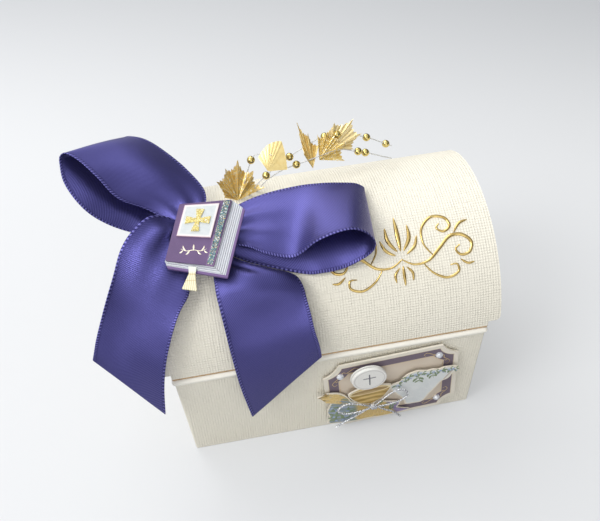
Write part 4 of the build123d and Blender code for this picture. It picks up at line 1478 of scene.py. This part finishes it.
# %% Ears of wheat
def ear(root, tip, count, size):
    """An ear of wheat: a stalk and grains in two rows."""
    (u0, v0), (u1, v1) = root, tip
    angle = math.atan2(v1 - v0, u1 - u0)
    lines = [([root, ((u0 + u1) / 2, (v0 + v1) / 2 + 0.15), tip], 0.08, 0.16)]
    for k in range(count):
        share = 0.30 + 0.66 * k / count
        u, v = u0 + (u1 - u0) * share, v0 + (v1 - v0) * share
        for side in (-1, 1):
            middle = away_from(u, v, angle + side * 0.50 + side * 0.2, 0.5 * size)
            lines.append(([(u, v), middle, away_from(u, v, angle + side * 0.30, size)], 0.06, size * 0.34))
    return lines


grains = ear((-14.6, -0.4), (-21.4, 4.6), 7, 1.5) + ear((-14.8, -1.6), (-24.0, 3.6), 8, 1.5)
grains += ear((-15.2, -3.0), (-22.6, 0.9), 6, 1.5)
for k in range(6):
    grains += ear((-8.0 + 0.8 * k, -7.2 - 0.3 * k), (-13.0 + 2.1 * k, -13.9 - 0.08 * k), 6, 1.35)
print("wheat has", len(grains), "stalks and grains")

# %% Relief on the prints
PAGE_TOP, LEAFY_TOP = PAGE_BASE + CARD_T, LEAFY_BASE + CARD_T
for made in (
    strokes("page_leaves", page_leaves, label_card_at(PAGE_TOP), 0.10, leaf_green, 2),
    strokes("card_leaves", card_leaves, label_card_at(LEAFY_TOP), 0.12, leaf_green, 2),
    strokes("wheat_grains", grains, label_card_at(LEAFY_TOP), 0.16, grain_straw, 2),
    blossoms("page_flowers", page_flowers, label_card_at(PAGE_TOP + 0.02), petal_blue),
    blossoms("page_flower_eyes", page_flowers, label_card_at(PAGE_TOP + 0.02), flower_eye, True),
    blossoms("card_flowers", card_flowers, label_card_at(LEAFY_TOP + 0.04), petal_blue),
    blossoms("card_flower_eyes", card_flowers, label_card_at(LEAFY_TOP + 0.04), flower_eye, True),
):
    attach(made, "tray")
print("relief lies on both prints")

# %% [markdown]
# The cup is printed in shades of gold. Its mouth is an ellipse with a bright
# rim, and brushed bands run round the bowl below it. The white disc above it
# has a pressed ring and a small cross in fine lines, and a second disc shows
# behind its edge. The stones are clear glass with silver foil behind, so they
# mirror the room.

# %% Cup
CUP_U, CUP_T = -7.9, 0.5

cup_print, paper = new_finish("cup_print")
u, v = on_label(paper)
mouth_u, mouth_v = (u - CUP_U) / 6.9, (v - 4.05 - u * 0.06) / 1.35
mouth = (mouth_u * mouth_u + mouth_v * mouth_v).math("SQRT")
brushing = patchy(paper, u * 0.25, v * 1.6, 3.0) * 5.0
bands = ((v + u * u * 0.012 + u * 0.18) * 2.6 + brushing).math("SINE")
tone = mix(paper, bands * 0.5 + 0.5, (0.46, 0.29, 0.07), (0.84, 0.62, 0.25))
tone = mix(paper, step(paper, abs(u - CUP_U) / 7.2, 0.35, 1.0) * 0.55, tone, (0.34, 0.20, 0.05))
hollow = 1 - step(paper, mouth, 0.80, 0.92)
inner = mix(paper, bands * 0.5 + 0.5, (0.42, 0.27, 0.10), (0.62, 0.45, 0.22))
tone = mix(paper, hollow, tone, inner)
lip = 1 - step(paper, abs(mouth - 1.0), 0.05, 0.14)
tone = mix(paper, lip, tone, (0.92, 0.80, 0.52))
close_finish(paper, {
    "Base Color": tone, "Metallic": 0.45, "Roughness": 0.34,
    "Normal": raised(paper, bands * 0.4 + lip, 0.04, 0.5),
})
CUP = [
    (-15.2, 3.4), (-13.4, 4.9), (-11.0, 5.9), (-8.0, 6.2), (-5.4, 6.1), (-2.8, 5.6), (-0.6, 4.6),
    (-0.9, 2.6), (-2.0, 0.4), (-3.4, -1.8), (-5.6, -3.6), (-8.4, -4.5), (-10.8, -3.6), (-12.8, -1.6),
    (-14.4, 0.8),
]
die_cut("cup_layer", "chalice_card", CUP, CUP_BASE, CUP_T, 0.35, cup_print)

# %% Disc
DISC_V, RING_R = 11.6, 4.95
BACKING_R, BACKING_T, BACKING_H = 5.75, 0.35, 1.775
BACKING_AT = (-8.25, 12.0)
DISC_TOP = 3.0

disc_paper, paper = new_finish("disc_paper")
u, v = on_label(paper)
disc_u, disc_v = u - CUP_U, v - DISC_V
from_middle = (disc_u * disc_u + disc_v * disc_v).math("SQRT")
pulp = speckle(paper, 2, 3.0)
ring = 1 - step(paper, abs(from_middle - RING_R), 0.10, 0.24)
tone = mix(paper, pulp, (0.78, 0.77, 0.72), (0.88, 0.87, 0.83))
tone = mix(paper, ring * 0.45, tone, (0.45, 0.42, 0.40))
close_finish(paper, {
    "Base Color": tone, "Roughness": 0.5,
    "Normal": raised(paper, pulp * 0.3 - ring, 0.06, 0.6),
})
dress("host_disc", disc_paper)
backing = primitive("disc_backing", bpy.ops.mesh.primitive_cylinder_add,
                    vertices=64, radius=BACKING_R, depth=BACKING_T)
place = label_card_at(BACKING_H)
for vertex in backing.data.vertices:
    x, y, z = vertex.co
    vertex.co = place(x + BACKING_AT[0], y + BACKING_AT[1], z) * MM
apply_modifier(backing, "soft_edge", "BEVEL", width=0.08 * MM, segments=2, limit_method="ANGLE")
backing.data.materials.append(disc_paper)
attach(backing, "tray")
ink = plain_paint("slate_ink", (0.10, 0.10, 0.12), (0.20, 0.20, 0.22))
CROSS = [
    ([(CUP_U, 8.6), (CUP_U + 0.02, 11.6), (CUP_U, 14.6)], 0.34, 0.46),
    ([(-10.0, 12.5), (CUP_U, 12.48), (-5.8, 12.5)], 0.34, 0.46),
]
cross = strokes("disc_cross", CROSS, label_card_at(DISC_TOP), 0.05, ink, 4)
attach(cross, "tray")
print("disc, second disc and cross done")

# %% Stones
stone, paper = new_finish("foiled_stone")
red, green, _ = flakes(paper, 1.5)
close_finish(paper, {
    "Base Color": mix(paper, red, (0.72, 0.75, 0.80), (0.97, 0.98, 1.0)),
    "Metallic": 0.45, "Roughness": 0.16 + green * 0.14,
    "Normal": raised(paper, red, 0.12, 0.5),
})
dress("rhinestones", stone)
print("stones mirror the room")

# %% [markdown]
# ## Silver cord
#
# The little bow on the cup is metallised cord, two lengths of two twisted
# strands. Each length leaves the knot, makes a loop, goes back through the
# knot and hangs down on the other side. A smooth spline runs through the
# route, and the strands wind round the line that Blender works out from it.

# %% Cord finish
cord_silver, paper = new_finish("silver_cord")
glint = step(paper, speckle(paper, 2.2, 2.0), 0.40, 0.60)
close_finish(paper, {
    "Base Color": mix(paper, glint, (0.46, 0.47, 0.49), (0.92, 0.93, 0.95)),
    "Metallic": 0.85, "Roughness": 0.24 + glint * 0.12,
    "Normal": raised(paper, glint, 0.04, 0.5),
})
print("cord has its silver")

# %% Cord routes
CORD_R, STRANDS, TWIST_L = 0.4, 2, 1.9
OVER_CUP = 2.1
cord_place = on_card(LABEL_AT, label_side, label_up, label_out, BASE_TOP + OVER_CUP + 2 * CORD_R)
LOOP_A = [(-8.0, -4.2, 0.35), (-12.5, -0.9, 0.35), (-17.2, 0.4, 0.35), (-20.0, -3.0, 0.35),
          (-17.0, -6.2, 0.35), (-12.2, -6.4, 0.35), (-8.0, -5.3, 0.35)]
TAIL_A = [(-6.6, -5.8, -0.5), (-3.6, -9.2, -0.5), (0.2, -12.4, -0.5), (2.4, -16.2, -0.5)]
LOOP_B = [(-6.4, -4.1, 0.35), (-3.4, -0.4, 0.35), (1.4, 3.4, 0.35), (5.2, 0.0, 0.35), (3.4, -4.2, 0.35),
          (-2.0, -5.6, 0.35), (-6.0, -5.1, 0.35)]
TAIL_B = [(-7.8, -5.6, -0.5), (-11.5, -8.8, -0.5), (-16.5, -11.6, -0.5), (-20.6, -14.8, -0.5)]
print("routes of", len(LOOP_A + TAIL_A), "and", len(LOOP_B + TAIL_B), "points")

# %% Cord maker
STRAND_SHARE = 0.54


def spline_line(name, points):
    """The smooth line that a NURBS curve draws through a route, as points in mm."""
    data = bpy.data.curves.new(name, "CURVE")
    data.dimensions = "3D"
    data.resolution_u = 14
    spline = data.splines.new("NURBS")
    spline.points.add(len(points) - 1)
    for point, place in zip(spline.points, points):
        point.co = (*(place * MM), 1.0)
    spline.order_u = 3
    spline.use_endpoint_u = True
    holder = bpy.data.objects.new(name, data)
    mesh = bpy.data.meshes.new_from_object(holder)
    line = [v.co / MM for v in mesh.vertices]
    bpy.data.objects.remove(holder)
    bpy.data.meshes.remove(mesh)
    return line


def frames_along(line):
    """Two directions across the line at each point, carried on without a twist."""
    frames, normal = [], label_out
    for before, after in zip(line[:1] + line[:-1], line[1:] + line[-1:]):
        along = (after - before).normalized()
        normal = (normal - along * normal.dot(along)).normalized()
        frames.append((normal, along.cross(normal)))
    return frames


def twisted(name, line, radius, sides=8):
    """Strands wound round a line."""
    run, frames = distances(line), frames_along(line)
    strand_r = radius * STRAND_SHARE
    last = len(line) - 1
    points, faces = [], []
    for strand in range(STRANDS):
        start = len(points)
        for i, (centre, (across, over)) in enumerate(zip(line, frames)):
            turn = 2 * math.pi * (run[i] / TWIST_L + strand / STRANDS)
            middle = centre + (radius - strand_r) * (across * math.cos(turn) + over * math.sin(turn))
            for k in range(sides):
                a = 2 * math.pi * k / sides
                points.append(middle + strand_r * (across * math.cos(a) + over * math.sin(a)))
        for i in range(last):
            for k in range(sides):
                a, c, j = start + i * sides, start + (i + 1) * sides, (k + 1) % sides
                faces.append((a + k, a + j, c + j, c + k))
        faces.append(tuple(range(start, start + sides))[::-1])
        faces.append(tuple(range(start + last * sides, start + (last + 1) * sides)))
    piece = mesh_piece(name, points, faces, [cord_silver])
    round_off(piece, 60)
    print(f"{name}: {run[-1]:.1f} mm of cord")
    return piece, run[-1]


print("cord of", STRANDS, "strands,", 2 * CORD_R, "mm across where they wind")

# %% Cord bow
cords = []
for name, loop, tail in (("cord_left_loop", LOOP_A, TAIL_A), ("cord_right_loop", LOOP_B, TAIL_B)):
    line = spline_line(name, [cord_place(*p) for p in loop + tail])
    piece, length = twisted(name, line, CORD_R)
    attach(piece, "tray")
    cords.append((piece, line, length))

# %% Cord knot
WRAPS, WRAP_POINTS, WRAP_SHARE = 3, 24, 0.85


def wrap_line(k):
    """A closed turn of cord round the bow's middle."""
    ring = []
    for i in range(WRAP_POINTS + 1):
        a = 2 * math.pi * i / WRAP_POINTS
        u = -7.1 + (k - 1) * 0.62 + 0.25 * math.sin(a)
        ring.append(cord_place(u, -4.9 + 1.05 * math.cos(a), 0.05 + 0.95 * math.sin(a)))
    return ring


def joined(pieces):
    """All pieces joined into the first one."""
    only(pieces[0])
    for piece in pieces:
        piece.select_set(True)
    if len(pieces) > 1:
        bpy.ops.object.join()
    return bpy.context.object


wraps = [twisted(f"cord_wrap_{k + 1}", wrap_line(k), CORD_R * WRAP_SHARE)[0] for k in range(WRAPS)]
cord_knot = joined(wraps)
cord_knot.name = cord_knot.data.name = "cord_knot"
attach(cord_knot, "tray")
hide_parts("cord_bow")
for piece, line, length in cords:
    line[0] * MM
    length * MM
    [p * MM for p in line]

# %% [markdown]
# ## Foam pads
#
# Small pads of foam tape lift the layers apart. A pad is a cut block with
# sides that bulge a little under the cards, and open cells show at its cut
# faces.

# %% Foam finish
foam, paper = new_finish("foam_tape")
# Cell pits are painted darker than the foam between them: painted shade.
cells = paper.node("ShaderNodeTexVoronoi", {},
                   {"Vector": object_place(paper), "Scale": 5.2 / MM}, "Distance")
close_finish(paper, {
    "Base Color": mix(paper, cells, (0.70, 0.70, 0.68), (0.90, 0.90, 0.88)),
    "Roughness": 0.9,
    "Normal": raised(paper, cells, 0.08, 0.8),
})
print("foam has open cells")

# %% Foam pads
def foam_piece(name, node, body, pads, place):
    """Pads at (u, v, width, height, base, thickness), joined into one piece."""
    made = []
    for u, v, width, height, base, thick in pads:
        pad = primitive(name, bpy.ops.mesh.primitive_cube_add, size=1.0)
        pad.data.materials.append(foam)
        with editing(pad):
            bpy.ops.mesh.subdivide(number_cuts=4)
        for vertex in pad.data.vertices:
            x, y, z = vertex.co
            bulge = 1 + 0.05 * (1 - (2 * z) ** 2) - 0.04 * (2 * x) ** 4 * (2 * y) ** 4
            vertex.co = place(u + x * width * bulge, v + y * height * bulge, base + (z + 0.5) * thick) * MM
        made.append(pad)
    piece = joined(made)
    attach(piece, body)
    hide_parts(node)
    print(name, "has", len(made), "pads")


print("pads are cut from cubes and joined")

# %% Pads in their places
PAD_T, BOOK_LIFT = 1.0, 2.4
UNDER_LABEL = [(u, v, 8, 6, 0, PAD_T) for u, v in ((-14, 11), (14, 11), (-14, -11), (14, -11))]
BETWEEN_LAYERS = [
    (-17.5, -9.5, 4, 4, BASE_TOP, LEAFY_BASE), (-8.0, -11.5, 5, 3, BASE_TOP, LEAFY_BASE),
    (8.0, -6.5, 7, 5, BASE_TOP, PAGE_BASE), (15.0, 2.0, 5, 3, BASE_TOP, PAGE_BASE),
    (-6.5, 2.8, 5, 1.8, BASE_TOP, CUP_BASE), (-7.9, 12.4, 5, 3, BASE_TOP, CUP_BASE),
]
UNDER_BOOK = [(0, 0, 8, 9, -BOOK_LIFT, BOOK_LIFT)]
on_tray = on_card(LABEL_AT, label_side, label_up, label_out, 0)
foam_piece("foam_under_label", "label_foam_pads", "tray", UNDER_LABEL, on_tray)
foam_piece("foam_between_layers", "layer_foam_pads", "tray", BETWEEN_LAYERS, on_tray)
under_book = on_card(BOOK_AT, book_side, book_up, book_out, 0)
foam_piece("foam_under_book", "book_foam_pad", "lid", UNDER_BOOK, under_book)
